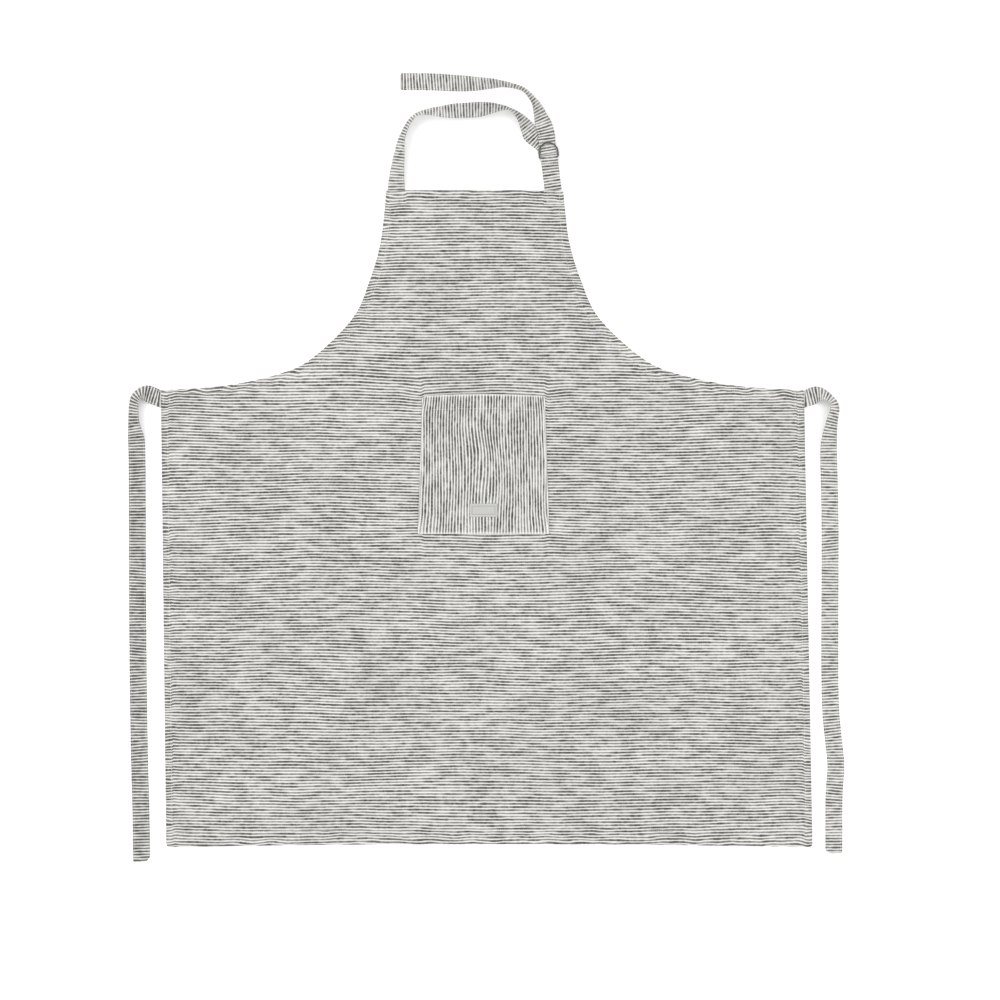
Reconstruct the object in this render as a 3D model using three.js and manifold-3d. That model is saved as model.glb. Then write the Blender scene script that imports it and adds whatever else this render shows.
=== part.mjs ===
// Bib apron of striped cloth, laid flat on its back: bib towards +Y, front face up (+Z).
// Millimetres. The neck strap runs from the bib's left corner through two D-rings on a
// short strap at the right corner, and a waist tie is sewn in below each armhole.
import {
  BoxGeometry, BufferAttribute, BufferGeometry, Box3, CatmullRomCurve3, ExtrudeGeometry,
  Group, MathUtils, Mesh, MeshStandardMaterial, Path, Shape, SplineCurve, TorusGeometry,
  Vector2, Vector3,
} from 'three';
import { mergeVertices } from 'three/addons/utils/BufferGeometryUtils.js';
import Module from 'manifold-3d';

const wasm = await Module();
wasm.setup();

// Driving dimensions
const bibWidth = 229;
const bibHeight = 260;          // top hem down to the waist corners
const bibShift = -10;           // the cloth lies slightly out of square
const waistWidth = 835;
const hemWidth = 839;
const hemShift = 9;
const skirtLength = 593;        // waist corners down to the bottom corners
const hemRise = 4;              // the bottom edge lies in a shallow arc
const cornerRadius = 4;

const clothThickness = 0.7;
const hemThickness = 1.5;       // cloth turned twice and sewn
const bibHem = 20;
const sideHem = 9;
const armholeHem = 7;
const bottomHem = 20;

const strapWidth = 22;
const strapThickness = 1;
const strapInRings = 20;        // the neck strap gathers a little where it passes the rings
const strapInset = 1.5;         // strap edge to the bib's side
const strapTabLength = 17;      // sewn in behind the bib hem
const tieTabLength = 14;        // sewn in behind the waist corner
const padMargin = 3;

const ringWire = 2;
const ringHeight = 19;          // bar to bow, wire centre to wire centre
const ringStrapLength = 43;     // bib edge to the ring bars
const ringStrapLean = 7.25;     // degrees towards the bib's middle
const ringStrapFlare = 12;      // length over which its two layers part round the bars

const pocketTopWidth = 159;
const pocketBottomWidth = 170;
const pocketHeight = 181;
const pocketBow = 2;
const pocketDrop = 5;           // pocket mouth below the waist corners
const pocketHem = 20;
const pocketEdge = 6;
const pocketCorner = 5;
const labelWidth = 36;
const labelHeight = 17;
const labelThickness = 0.4;
const labelRise = 22;           // label's lower edge above the pocket's

const threadWidth = 0.7;
const threadThickness = 0.4;
const stitchInset = 1.6;        // thread to the inner edge of its hem

const gap = 0.3;                // running clearance between touching pieces
const bandStep = 7;             // about one band section every seven millimetres

// Places that follow from the sizes
const bibLeft = bibShift - bibWidth / 2;
const bibRight = bibShift + bibWidth / 2;
const strapHalf = strapWidth / 2;
const neckTabX = bibLeft + strapInset + strapHalf;
const ringTabX = bibRight - strapInset - strapHalf;
const pocketMiddle = hemShift * (pocketDrop + pocketHeight / 2) / skirtLength;
const pocketFloor = -pocketDrop - pocketHeight;
const ringInnerHalf = strapHalf + gap;

const cloth = new MeshStandardMaterial({ color: 0xb7b8b3, roughness: 0.9, metalness: 0 });
const pocketCloth = new MeshStandardMaterial({ color: 0xb8b8b4, roughness: 0.9, metalness: 0 });
const strapCloth = new MeshStandardMaterial({ color: 0xb0b0ac, roughness: 0.9, metalness: 0 });
const labelCloth = new MeshStandardMaterial({ color: 0xd2d3cd, roughness: 0.8, metalness: 0 });
const steel = new MeshStandardMaterial({ color: 0x6c6c6a, roughness: 0.35, metalness: 1 });
const thread = new MeshStandardMaterial({ color: 0xe4e3de, roughness: 0.75, metalness: 0 });

const apron = new Group();

function addPiece(name, geometry, material) {
  const mesh = new Mesh(geometry, material);
  mesh.name = name;
  apron.add(mesh);
  return mesh;
}

// ---- solids ----

function toSolid(geometry) {
  let plain = geometry.clone();
  plain.deleteAttribute('normal');
  plain.deleteAttribute('uv');
  plain = mergeVertices(plain, 1e-4);
  return new wasm.Manifold(new wasm.Mesh({
    numProp: 3,
    vertProperties: new Float32Array(plain.attributes.position.array),
    triVerts: new Uint32Array(plain.index.array),
  }));
}

function toGeometry(solid) {
  const mesh = solid.getMesh();
  const geometry = new BufferGeometry();
  geometry.setAttribute('position', new BufferAttribute(mesh.vertProperties, 3));
  geometry.setIndex(new BufferAttribute(mesh.triVerts, 1));
  return geometry;
}

// A flat sheet cut to an outline, from one height to another
function sheet(outline, low, high) {
  const geometry = new ExtrudeGeometry(outline, { depth: high - low, bevelEnabled: false });
  return geometry.translate(0, 0, low);
}

function block(xLow, xHigh, yLow, yHigh, zLow, zHigh) {
  const geometry = new BoxGeometry(xHigh - xLow, yHigh - yLow, zHigh - zLow);
  return geometry.translate((xLow + xHigh) / 2, (yLow + yHigh) / 2, (zLow + zHigh) / 2);
}

// Cloth with its edges turned under: hem thickness round the outline, plain cloth inside
function hemmedCloth(outline, inside, floor) {
  const thick = toSolid(sheet(outline, floor, floor + hemThickness));
  const hollow = toSolid(sheet(inside, floor + clothThickness, floor + hemThickness + 1));
  return thick.subtract(hollow);
}

// ---- apron outline ----

function sideX(side, y) {
  const down = -y / skirtLength;
  return side * (waistWidth + (hemWidth - waistWidth) * down) / 2 + hemShift * down;
}

// Armhole curve from the bib corner to the waist corner, as shares of the box it fills
const armholeShares = [
  [0, 1], [0.024, 0.75], [0.074, 0.55], [0.15, 0.36], [0.33, 0.16], [0.48, 0.08],
  [0.72, 0.022], [1, 0],
];

function armholeCurve(side, inset) {
  const bibX = (side > 0 ? bibRight : bibLeft) - side * inset.armhole;
  const waistX = sideX(side, 0) - side * inset.side;
  const top = bibHeight - inset.bib;
  const corners = armholeShares.map(([out, up]) => new Vector2(
    bibX + (waistX - bibX) * out, -inset.armhole + (top + inset.armhole) * up));
  return new SplineCurve(corners);
}

function apronOutline(inset) {
  const bottom = -skirtLength + inset.bottom;
  const left = sideX(-1, bottom) + inset.side;
  const right = sideX(1, bottom) - inset.side;
  const outline = new Shape();
  outline.setFromPoints(armholeCurve(1, inset).getPoints(28));
  outline.lineTo(right, bottom + cornerRadius);
  outline.quadraticCurveTo(right, bottom, right - cornerRadius, bottom);
  outline.quadraticCurveTo((left + right) / 2, bottom + 2 * hemRise, left + cornerRadius, bottom);
  outline.quadraticCurveTo(left, bottom, left, bottom + cornerRadius);
  for (const point of armholeCurve(-1, inset).getPoints(28).reverse()) {
    outline.lineTo(point.x, point.y);
  }
  return outline;
}

const noInset = { bib: 0, side: 0, armhole: 0, bottom: 0 };
const hemInset = { bib: bibHem, side: sideHem, armhole: armholeHem, bottom: bottomHem };

// The cloth is raised over each sewn-in tab, and the tab lies in a slot open underneath
const tabs = [
  { name: 'neck_strap_tab', x: [neckTabX - strapHalf, neckTabX + strapHalf],
    y: [bibHeight - strapTabLength, bibHeight], thick: strapThickness, open: [0, 1] },
  { name: 'ring_strap_tab', x: [ringTabX - strapHalf, ringTabX + strapHalf],
    y: [bibHeight - strapTabLength, bibHeight], thick: 2 * strapThickness, open: [0, 1] },
  { name: 'left_tie_tab', x: [sideX(-1, 0), sideX(-1, 0) + tieTabLength],
    y: [-gap - strapWidth, -gap], thick: strapThickness, open: [-1, 0] },
  { name: 'right_tie_tab', x: [sideX(1, 0) - tieTabLength, sideX(1, 0)],
    y: [-gap - strapWidth, -gap], thick: strapThickness, open: [1, 0] },
];

function clothPanel() {
  let panel = hemmedCloth(apronOutline(noInset), apronOutline(hemInset), 0);
  for (const tab of tabs) {
    const roof = tab.thick + gap + clothThickness;
    const pad = block(tab.x[0] - padMargin, tab.x[1] + padMargin,
      tab.y[0] - padMargin, tab.y[1] + padMargin, 0, roof);
    const whole = toSolid(sheet(apronOutline(noInset), 0, roof));
    panel = panel.add(whole.intersect(toSolid(pad)));
  }
  for (const tab of tabs) {
    const past = 5;             // the slot runs out through the cloth's edge
    const slot = block(
      tab.x[0] - gap - (tab.open[0] < 0 ? past : 0), tab.x[1] + gap + (tab.open[0] > 0 ? past : 0),
      tab.y[0] - gap, tab.y[1] + gap + (tab.open[1] > 0 ? past : 0),
      -1, tab.thick + gap);
    panel = panel.subtract(toSolid(slot));
  }
  return toGeometry(panel);
}

addPiece('panel', clothPanel(), cloth);
for (const tab of tabs) {
  const shape = block(...tab.x, ...tab.y, 0, tab.thick);
  addPiece(tab.name, shape, strapCloth);
}

// ---- pocket and label ----

function pocketOutline(edge, mouth) {
  const top = -pocketDrop - mouth;
  const floor = pocketFloor + edge;
  const topHalf = pocketTopWidth / 2 - edge;
  const floorHalf = pocketBottomWidth / 2 - edge;
  const round = pocketCorner;
  const outline = new Shape();
  outline.moveTo(-floorHalf, floor);
  outline.lineTo(floorHalf, floor);
  outline.lineTo(topHalf, top - round - pocketBow);
  outline.quadraticCurveTo(topHalf, top - pocketBow, topHalf - round, top - pocketBow);
  outline.quadraticCurveTo(0, top + pocketBow, -topHalf + round, top - pocketBow);
  outline.quadraticCurveTo(-topHalf, top - pocketBow, -topHalf, top - round - pocketBow);
  return outline;
}

const pocketBack = clothThickness + gap;
const pocketSolid = hemmedCloth(pocketOutline(0, 0), pocketOutline(pocketEdge, pocketHem), pocketBack);
addPiece('pocket', toGeometry(pocketSolid), pocketCloth).position.x = pocketMiddle;

const labelBack = pocketBack + clothThickness + gap;
const labelFloor = pocketFloor + labelRise;
const label = block(-labelWidth / 2, labelWidth / 2, labelFloor, labelFloor + labelHeight,
  labelBack, labelBack + labelThickness);
addPiece('pocket_label', label, labelCloth).position.x = pocketMiddle;

// ---- straps and ties ----

// A band follows its stations: place, height of its lower edge, the direction across it in
// plan (degrees from +X), its lean on to one edge (degrees, positive lifts the +across edge)
// and its width where that isn't the full width
function acrossBand([, , , across, lean]) {
  const plan = MathUtils.degToRad(across);
  const tip = MathUtils.degToRad(lean);
  return new Vector3(
    Math.cos(plan) * Math.cos(tip), Math.sin(plan) * Math.cos(tip), Math.sin(tip));
}

function band(stations) {
  const points = stations.map(([x, y, lift]) => new Vector3(x, y, lift));
  const route = new CatmullRomCurve3(points, false, 'centripetal');
  const spread = new CatmullRomCurve3(stations.map(acrossBand), false, 'centripetal');
  const spans = stations.length - 1;
  const steps = spans * Math.max(2, Math.round(route.getLength() / bandStep / spans));
  const geometry = new BoxGeometry(1, 1, strapThickness, steps, 1, 1);
  const places = geometry.attributes.position;
  for (let i = 0; i < places.count; i += 1) {
    const along = places.getX(i) + 0.5;
    const before = Math.min(Math.floor(along * spans), spans - 1);
    const width = MathUtils.lerp(stations[before][5] ?? strapWidth,
      stations[before + 1][5] ?? strapWidth, along * spans - before);
    const wide = spread.getPoint(along).normalize();
    const heading = route.getTangent(along);
    heading.addScaledVector(wide, -heading.dot(wide)).normalize();
    const up = heading.clone().cross(wide);
    // The lower edge stays at the route's height, and never below the table
    const rise = (width * Math.abs(wide.z) + strapThickness * Math.abs(up.z)) / 2;
    const point = route.getPoint(along);
    point.z = Math.max(point.z, 0) + rise;
    point.addScaledVector(wide, -places.getY(i) * width).addScaledVector(up, -places.getZ(i));
    places.setXYZ(i, point.x, point.y, point.z);
  }
  // The box splits its lower face along the other diagonals; split like the upper face, the two
  // stay a thickness apart where the band twists
  const { start, count } = geometry.groups[5];
  for (let i = start; i < start + count; i += 6) {
    const [a, b, d, , c] = geometry.index.array.slice(i, i + 6);
    geometry.index.array.set([a, b, c, a, c, d], i);
  }
  return geometry;
}

// Stations measured from the bib's top edge at the neck tab; the first figure of each is a
// share of the way across to the near edge of the tail
const ringsAside = Math.sin(MathUtils.degToRad(ringStrapLean)) * ringStrapLength;
const neckRun = ringTabX - ringsAside - neckTabX - strapWidth;
const neckStations = [
  [0, 0.4, 0, 0, 0], [0.003, 16, 0, -4, 25], [0.013, 33, 0, -10, 40], [0.026, 50, 0, -14, 52],
  [0.04, 66, 0, -22, 65], [0.07, 80, 0, -34, 71], [0.106, 91, 0, -46, 74], [0.157, 99, 0, -66, 77],
  [0.254, 102, 0, -86, 60], [0.334, 102, 0, -86, 45], [0.424, 103.3, 0, -85, 28],
  [0.601, 105, 0, -90, 22], [0.688, 106.5, 0, -90, 42], [0.784, 107, 0, -98, 68],
  [0.834, 105.5, 0, -115, 78], [0.887, 99.4, 0, -131, 70], [0.926, 92, 0, -136, 55],
  [0.964, 81.8, 0, -141, 30], [0.995, 72, 0, -142, 8],
].map(([share, ...rest]) => [share * neckRun, ...rest]);

// Stations in the rings' own frame: origin below the ring bars, +Y up the ring strap.
// The strap comes up through both rings, turns back over the back ring's bow and goes out
// under the front ring's bow.
const backBarHeight = strapThickness + gap + ringWire / 2;
const frontBarHeight = backBarHeight + ringWire + gap;
const tailLift = backBarHeight + ringWire / 2 + gap;
const turnTop = frontBarHeight + ringWire / 2;
const turnNear = ringWire / 2 + 2 * gap + strapThickness * 1.5;
const turnY = turnNear + turnTop / 2;
const turnStations = [
  [12 - strapWidth, 22.5, 0, -139, 0], [6.5 - strapHalf, 15, 0, -154, 0, strapInRings],
  [-1.2, turnY + 4, 0, -169, 0, strapInRings], [0, turnY, 0, -180, 0, strapInRings],
  [0, turnNear + turnTop * 0.15, turnTop * 0.15, -180, 0, strapInRings],
  [0, turnNear, turnTop * 0.5, -180, 0, strapInRings],
  [0, turnNear + turnTop * 0.15, turnTop * 0.86, -180, 0, strapInRings],
  [0, turnY, turnTop * 0.96, -180, 0, strapInRings],
  [0, turnY + 4.5, tailLift, -180, 0, strapInRings],
];
const tailHinge = 24.5;         // just past the front ring's bow
const tailStations = [
  [0, tailHinge + gap, tailLift, 0, 0], [-0.4, 36, 2.4, 4, 0], [-4.4, 54, 0, 10, 40],
  [-7.4, 67.5, 0, 20, 60], [-11, 76, 0, 34, 73], [-19.4, 88.8, 0, 50, 80],
  [-26, 93.8, 0, 62, 81], [-33.8, 97.2, 0, 70, 80], [-42, 100, 0, 74, 76],
  [-49.4, 102, 0, 78, 72], [-58.7, 103.6, 0, 84, 61], [-72, 105.3, 0, 88, 49],
  [-87.5, 107.3, 0, 89, 34], [-103, 110, 0, 88, 21], [-140, 116.8, 0, 86, 5],
  [-180, 122.4, 0, 84, 0],
];

const ringAnchor = new Group();
ringAnchor.position.set(ringTabX, bibHeight + gap, 0);
ringAnchor.rotation.z = MathUtils.degToRad(ringStrapLean);

// A station of the rings' frame, seen from the neck tab
function fromRings([x, y, lift, across, lean, width]) {
  const place = new Vector3(x, y + ringStrapLength, 0)
    .applyAxisAngle(new Vector3(0, 0, 1), ringAnchor.rotation.z)
    .add(ringAnchor.position);
  return [place.x - neckTabX, place.y - bibHeight, lift, across + ringStrapLean, lean, width];
}

const neckRoute = [
  ...neckStations,
  ...[...turnStations, [0, tailHinge, tailLift, -180, 0]].map(fromRings),
];
addPiece('neck_strap', band(neckRoute), strapCloth).position.set(neckTabX, bibHeight, 0);
addPiece('neck_strap_tail', band(tailStations.map(fromRings)), strapCloth)
  .position.set(neckTabX, bibHeight, 0);

// Stations measured from the waist seam at the apron's side
const leftTieStations = [
  [0, 0, 0, -90, 0], [-7, 3.2, 0, -108, 0], [-16, 7, 0, -107, 10], [-22, 8.6, 0, -93, 35],
  [-28, 7.2, 0, -62, 53], [-33, 2, 0, -33, 55], [-34.8, -5, 0, -12, 53],
  [-35.2, -15, 0, -2, 51], [-35, -28, 0, 4, 47], [-33.8, -39, 0, 7, 35],
  [-32.2, -50, 0, 5, 12], [-31.4, -67, 0, 2, 0], [-30.8, -158, 0, 0, 0],
  [-30.3, -288, 0, 0, 0], [-29.3, -392, 0, 1, 0], [-27.9, -470, 0, 1, 0],
  [-26.3, -530, 0, 1, 0], [-25.2, -601, 0, 1, 0],
];
const rightTieStations = [
  [0, 0, 0, 90, 0], [6.5, 2.6, 0, 108, 0], [13.7, 5.5, 0, 106, -8], [20.2, 6.6, 0, 92, -28],
  [26.5, 5.6, 0, 66, -54], [33.4, 1, 0, 45, -63], [38.5, -5, 0, 15, -60],
  [39.4, -13, 0, -8, -54], [37.6, -22, 0, -14, -50], [35.6, -30, 0, -12, -44],
  [33.4, -44, 0, -8, -30], [31.8, -62, 0, -2, -12], [32.6, -107, 0, 1, 0],
  [33.6, -159, 0, 0, 0], [33.6, -372, 0, 1, 0], [35, -412, 0, 4, 0], [38.6, -447, 0, 4, 0],
  [41.2, -477, 0, 0, 0], [39, -512, 0, -2, 0], [38.6, -590, 0, 1, 0],
];
const seamY = -gap - strapHalf;
addPiece('left_tie', band(leftTieStations), strapCloth)
  .position.set(sideX(-1, 0) - gap, seamY, 0);
addPiece('right_tie', band(rightTieStations), strapCloth)
  .position.set(sideX(1, -strapWidth) + gap, seamY, 0);

// ---- ring strap and D-rings ----

// Side view of the folded strap: two layers from the bib, parted round the two ring bars
function ringStrapProfile() {
  const end = ringStrapLength;
  const eye = ringWire / 2 + gap;
  const skin = eye + strapThickness;
  const layers = 2 * strapThickness;
  const profile = new Shape();
  profile.moveTo(0, 0);
  profile.lineTo(end, 0);
  profile.absarc(end, backBarHeight, skin, -Math.PI / 2, 0);
  profile.absarc(end, frontBarHeight, skin, 0, Math.PI / 2);
  profile.bezierCurveTo(end - ringStrapFlare / 2, frontBarHeight + skin,
    end - ringStrapFlare / 2, layers, end - ringStrapFlare, layers);
  profile.lineTo(0, layers);
  const eyelet = new Path();
  eyelet.absarc(end, backBarHeight, eye, Math.PI, 2 * Math.PI);
  eyelet.absarc(end, frontBarHeight, eye, 0, Math.PI);
  profile.holes.push(eyelet);
  return profile;
}

const ringStrap = new ExtrudeGeometry(ringStrapProfile(),
  { depth: strapWidth, bevelEnabled: false, curveSegments: 8 });
// Profile x runs up the strap, profile y is its height and the depth lies across it
ringStrap.rotateX(Math.PI / 2).rotateZ(Math.PI / 2).translate(-strapHalf, 0, 0);
const strapPlaces = ringStrap.attributes.position;
for (let i = 0; i < strapPlaces.count; i += 1) {
  if (strapPlaces.getY(i) < 0.01) {      // its foot stays parallel to the bib's edge
    strapPlaces.setY(i, -strapPlaces.getX(i) * Math.tan(ringAnchor.rotation.z));
  }
}
const ringStrapMesh = new Mesh(ringStrap, strapCloth);
ringStrapMesh.name = 'ring_strap';
ringAnchor.add(ringStrapMesh);

// Centre line of a D-ring: straight bar along X at the origin, bow towards +Y
function ringLine() {
  const half = ringInnerHalf + ringWire / 2;
  const corner = 1;
  const line = new Path();
  line.moveTo(0, 0);
  line.lineTo(half - corner, 0);
  line.absarc(half - corner, corner, corner, -Math.PI / 2, 0);
  line.lineTo(half, ringHeight - half);
  line.absarc(0, ringHeight - half, half, 0, Math.PI);
  line.lineTo(-half, corner);
  line.absarc(-half + corner, corner, corner, Math.PI, Math.PI * 1.5);
  line.lineTo(0, 0);
  return line;
}

function dRing() {
  const line = ringLine();
  const geometry = new TorusGeometry(10, ringWire / 2, 10, 72);
  const places = geometry.attributes.position;
  for (let i = 0; i < places.count; i += 1) {
    const turn = Math.atan2(places.getY(i), places.getX(i)) / (2 * Math.PI);
    const share = ((turn % 1) + 1) % 1;
    const out = Math.hypot(places.getX(i), places.getY(i)) - 10;
    const centre = line.getPointAt(share);
    const heading = line.getTangentAt(share);
    places.setXY(i, centre.x + heading.y * out, centre.y - heading.x * out);
  }
  return geometry;
}

// The front ring tilts until its bow, where it grows narrower than the strap, clears it
const overStrap = tailLift + strapThickness + gap + ringWire / 2 - frontBarHeight;
const bowStart = ringHeight - ringInnerHalf - ringWire / 2;
const bowNarrows = bowStart + Math.sqrt(ringInnerHalf ** 2 - (strapInRings / 2 + gap) ** 2);
const frontTilt = Math.asin(overStrap / bowNarrows);
for (const [name, barHeight, tilt] of [
  ['back_ring', backBarHeight, 0],
  ['front_ring', frontBarHeight, frontTilt],
]) {
  const ring = new Mesh(dRing(), steel);
  ring.name = name;
  ring.position.set(0, ringStrapLength, barHeight);
  ring.rotation.x = tilt;
  ringAnchor.add(ring);
}
apron.add(ringAnchor);

// ---- sewing threads ----

// A row of stitches as a thin flat thread along a line of points
function threadRow(points, floor) {
  const edge = (side) => points.map((point, i) => {
    const before = points[Math.max(i - 1, 0)];
    const after = points[Math.min(i + 1, points.length - 1)];
    const into = point.clone().sub(before).normalize();
    const away = after.clone().sub(point).normalize();
    const heading = into.clone().add(away).normalize();
    const square = into.lengthSq() && away.lengthSq() ? heading.dot(into) : 1;
    return point.clone().add(new Vector2(heading.y, -heading.x)
      .multiplyScalar(side * threadWidth / 2 / square));
  });
  const outline = new Shape([...edge(1), ...edge(-1).reverse()]);
  return sheet(outline, floor, floor + threadThickness);
}

// A closed rectangle of stitches
function threadFrame(xLow, xHigh, yLow, yHigh, floor) {
  const corners = (grow) => [
    new Vector2(xLow - grow, yLow - grow), new Vector2(xHigh + grow, yLow - grow),
    new Vector2(xHigh + grow, yHigh + grow), new Vector2(xLow - grow, yHigh + grow),
  ];
  const outline = new Shape(corners(threadWidth / 2));
  outline.holes.push(new Path(corners(-threadWidth / 2).reverse()));
  return sheet(outline, floor, floor + threadThickness);
}

const onHem = hemThickness + gap;
const seamInset = {
  bib: bibHem - stitchInset, side: sideHem - stitchInset, armhole: armholeHem - stitchInset,
  bottom: bottomHem - stitchInset,
};
const seamStart = strapTabLength + padMargin + 1.5;
for (const [word, side] of [['left', -1], ['right', 1]]) {
  const curve = armholeCurve(side, { ...seamInset, bib: seamStart });
  const reach = tieTabLength + padMargin + 2;
  const armhole = curve.getPoints(28).filter((point) => Math.abs(point.x - sideX(side, 0)) > reach);
  addPiece(`${word}_armhole_thread`, threadRow(armhole, onHem), thread);
  const high = -gap - strapWidth - padMargin - 1.5;
  const low = -skirtLength + seamInset.bottom + 3;
  const seam = [high, low].map((y) => new Vector2(sideX(side, y) - side * seamInset.side, y));
  addPiece(`${word}_hem_thread`, threadRow(seam, onHem), thread);
}

const bibSeamY = bibHeight - seamInset.bib;
const bibSeam = [tabs[0].x[1] + padMargin + 1.5, tabs[1].x[0] - padMargin - 1.5]
  .map((x) => new Vector2(x, bibSeamY));
addPiece('bib_hem_thread', threadRow(bibSeam, onHem), thread);

const bottomSeamY = -skirtLength + seamInset.bottom;
const bottomSeam = new Path();
bottomSeam.moveTo(sideX(-1, bottomSeamY) + seamInset.side, bottomSeamY);
bottomSeam.quadraticCurveTo(hemShift, bottomSeamY + 2 * hemRise,
  sideX(1, bottomSeamY) - seamInset.side, bottomSeamY);
addPiece('bottom_hem_thread', threadRow(bottomSeam.getPoints(16), onHem), thread);

for (const tab of tabs) {
  const inset = 3;
  const onPad = tab.thick + gap + clothThickness + gap;
  addPiece(tab.name.replace('tab', 'thread'), threadFrame(tab.x[0] + inset, tab.x[1] - inset,
    tab.y[0] + inset, tab.y[1] - inset, onPad), thread);
}

const onPocket = pocketBack + hemThickness + gap;
const pocketSeam = [
  [-pocketTopWidth / 2, -pocketDrop - pocketBow - 2], [-pocketBottomWidth / 2, pocketFloor],
  [pocketBottomWidth / 2, pocketFloor], [pocketTopWidth / 2, -pocketDrop - pocketBow - 2],
].map(([x, y]) => new Vector2(x - Math.sign(x) * 3.5, y + (y === pocketFloor ? 3.5 : 0)));
addPiece('pocket_edge_thread', threadRow(pocketSeam, onPocket), thread).position.x = pocketMiddle;
const mouthSeamHalf = pocketTopWidth / 2 - 6;
const mouthSeamY = -pocketDrop - pocketHem + stitchInset;
const mouthSeam = [-mouthSeamHalf, mouthSeamHalf].map((x) => new Vector2(x, mouthSeamY));
addPiece('pocket_mouth_thread', threadRow(mouthSeam, onPocket), thread).position.x = pocketMiddle;
addPiece('pocket_label_thread', threadFrame(-labelWidth / 2 + 1.2, labelWidth / 2 - 1.2,
  labelFloor + 1.2, labelFloor + labelHeight - 1.2, labelBack + labelThickness + gap), thread)
  .position.x = pocketMiddle;

// Origin below the middle of the apron's box
apron.updateMatrixWorld(true);
const extent = new Box3().setFromObject(apron);
const middle = extent.getCenter(new Vector3());
apron.position.set(-middle.x, -middle.y, -extent.min.z);

export default apron;
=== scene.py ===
import math

import bpy
import numpy as np
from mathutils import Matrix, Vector, kdtree, noise
from mathutils.geometry import delaunay_2d_cdt


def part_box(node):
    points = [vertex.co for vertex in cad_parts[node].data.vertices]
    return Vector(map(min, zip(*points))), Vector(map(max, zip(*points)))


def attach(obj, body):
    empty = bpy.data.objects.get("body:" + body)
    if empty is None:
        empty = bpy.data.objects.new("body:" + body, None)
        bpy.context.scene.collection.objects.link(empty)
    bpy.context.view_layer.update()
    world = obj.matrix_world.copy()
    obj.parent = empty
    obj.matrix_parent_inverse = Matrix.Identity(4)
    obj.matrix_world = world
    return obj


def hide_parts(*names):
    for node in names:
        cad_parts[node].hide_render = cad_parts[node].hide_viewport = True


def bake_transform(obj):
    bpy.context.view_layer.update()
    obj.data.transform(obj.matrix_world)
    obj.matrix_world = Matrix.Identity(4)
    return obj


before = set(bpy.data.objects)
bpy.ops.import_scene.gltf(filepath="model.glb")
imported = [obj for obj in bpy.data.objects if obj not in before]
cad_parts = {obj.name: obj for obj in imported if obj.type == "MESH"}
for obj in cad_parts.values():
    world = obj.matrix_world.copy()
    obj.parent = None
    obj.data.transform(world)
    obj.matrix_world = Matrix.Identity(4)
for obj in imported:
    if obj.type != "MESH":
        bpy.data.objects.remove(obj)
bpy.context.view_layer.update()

scene = bpy.context.scene
mm = 0.001


# camera: straight above, far off, so that raised straps don't shift
viewpoint = {"middle": (0.0181, -0.0423), "width": 1.3, "lens": 180, "sensor": 36}

cameraData = bpy.data.cameras.new("camera")
cameraData.lens = viewpoint["lens"]
cameraData.sensor_width = viewpoint["sensor"]
cameraData.clip_end = 60
camera = bpy.data.objects.new("camera", cameraData)
camera.location = (*viewpoint["middle"],
                   viewpoint["width"] * viewpoint["lens"] / viewpoint["sensor"])
scene.collection.objects.link(camera)
scene.camera = camera


# places taken from the CAD
neckTab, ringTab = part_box("neck_strap_tab"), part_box("ring_strap_tab")
leftTab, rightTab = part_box("left_tie_tab"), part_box("right_tie_tab")
pocketBox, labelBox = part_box("pocket"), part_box("pocket_label")
clearance = 0.0003              # the CAD's gap round a sewn-in end
waistX = (leftTab[0].x + rightTab[1].x) / 2
waistY = leftTab[1].y + clearance
bibTop = neckTab[1].y
strapWidth = neckTab[1].x - neckTab[0].x
strapThick = neckTab[1].z - neckTab[0].z


# shader nodes, written as sums

class Value:
    # a socket's value, which adds and multiplies like a number
    def __init__(self, tree, socket):
        self.tree, self.socket = tree, socket

    def calc(self, operation, *others):
        return made(self.tree, "Math", (self, *others), operation=operation)

    def __add__(self, other):
        return self.calc("ADD", other)

    def __sub__(self, other):
        return self.calc("SUBTRACT", other)

    def __mul__(self, other):
        return self.calc("MULTIPLY", other)

    def __truediv__(self, other):
        return self.calc("DIVIDE", other)


def wire(tree, node, inputs):
    # inputs come in order or by name, each a Value or something plain
    for key, value in inputs.items() if isinstance(inputs, dict) else enumerate(inputs):
        if isinstance(value, Value):
            tree.links.new(value.socket, node.inputs[key])
        else:
            node.inputs[key].default_value = value


def made(tree, kind, inputs, output=0, **settings):
    node = tree.nodes.new("ShaderNode" + kind)
    for key, value in settings.items():
        setattr(node, key, value)
    wire(tree, node, inputs)
    return Value(tree, node.outputs[output])


def newMaterial(name):
    material = bpy.data.materials.new(name)
    material.use_nodes = True
    tree = material.node_tree
    return material, tree, tree.nodes["Principled BSDF"]


def objectPlace(tree):
    return made(tree, "TexCoord", (), "Object")


def clothPlace(tree):
    # flat places on the cloth, along its stripes and across them
    along = made(tree, "SeparateXYZ", [made(tree, "UVMap", (), uv_map="cloth")])
    return along, Value(tree, along.socket.node.outputs[1])


def vector(tree, x, y, z=0.0):
    return made(tree, "CombineXYZ", (x, y, z))


def cloud(tree, at, scale=1.0, detail=2.0, rough=0.5):
    return made(tree, "TexNoise", {"Vector": at, "Scale": scale, "Detail": detail,
                                   "Roughness": rough}, "Fac")


def ramp(tree, value, low, high, toLow=0.0, toHigh=1.0, kind="SMOOTHSTEP"):
    return made(tree, "MapRange", (value, low, high, toLow, toHigh), interpolation_type=kind)


def blendColour(tree, share, first, second, mode="MIX"):
    return made(tree, "Mix", {0: share, 6: first, 7: second}, 2, data_type="RGBA",
                blend_type=mode)


def tinted(tree, colour, tone):
    return blendColour(tree, 1.0, colour, vector(tree, tone, tone, tone), "MULTIPLY")


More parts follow.
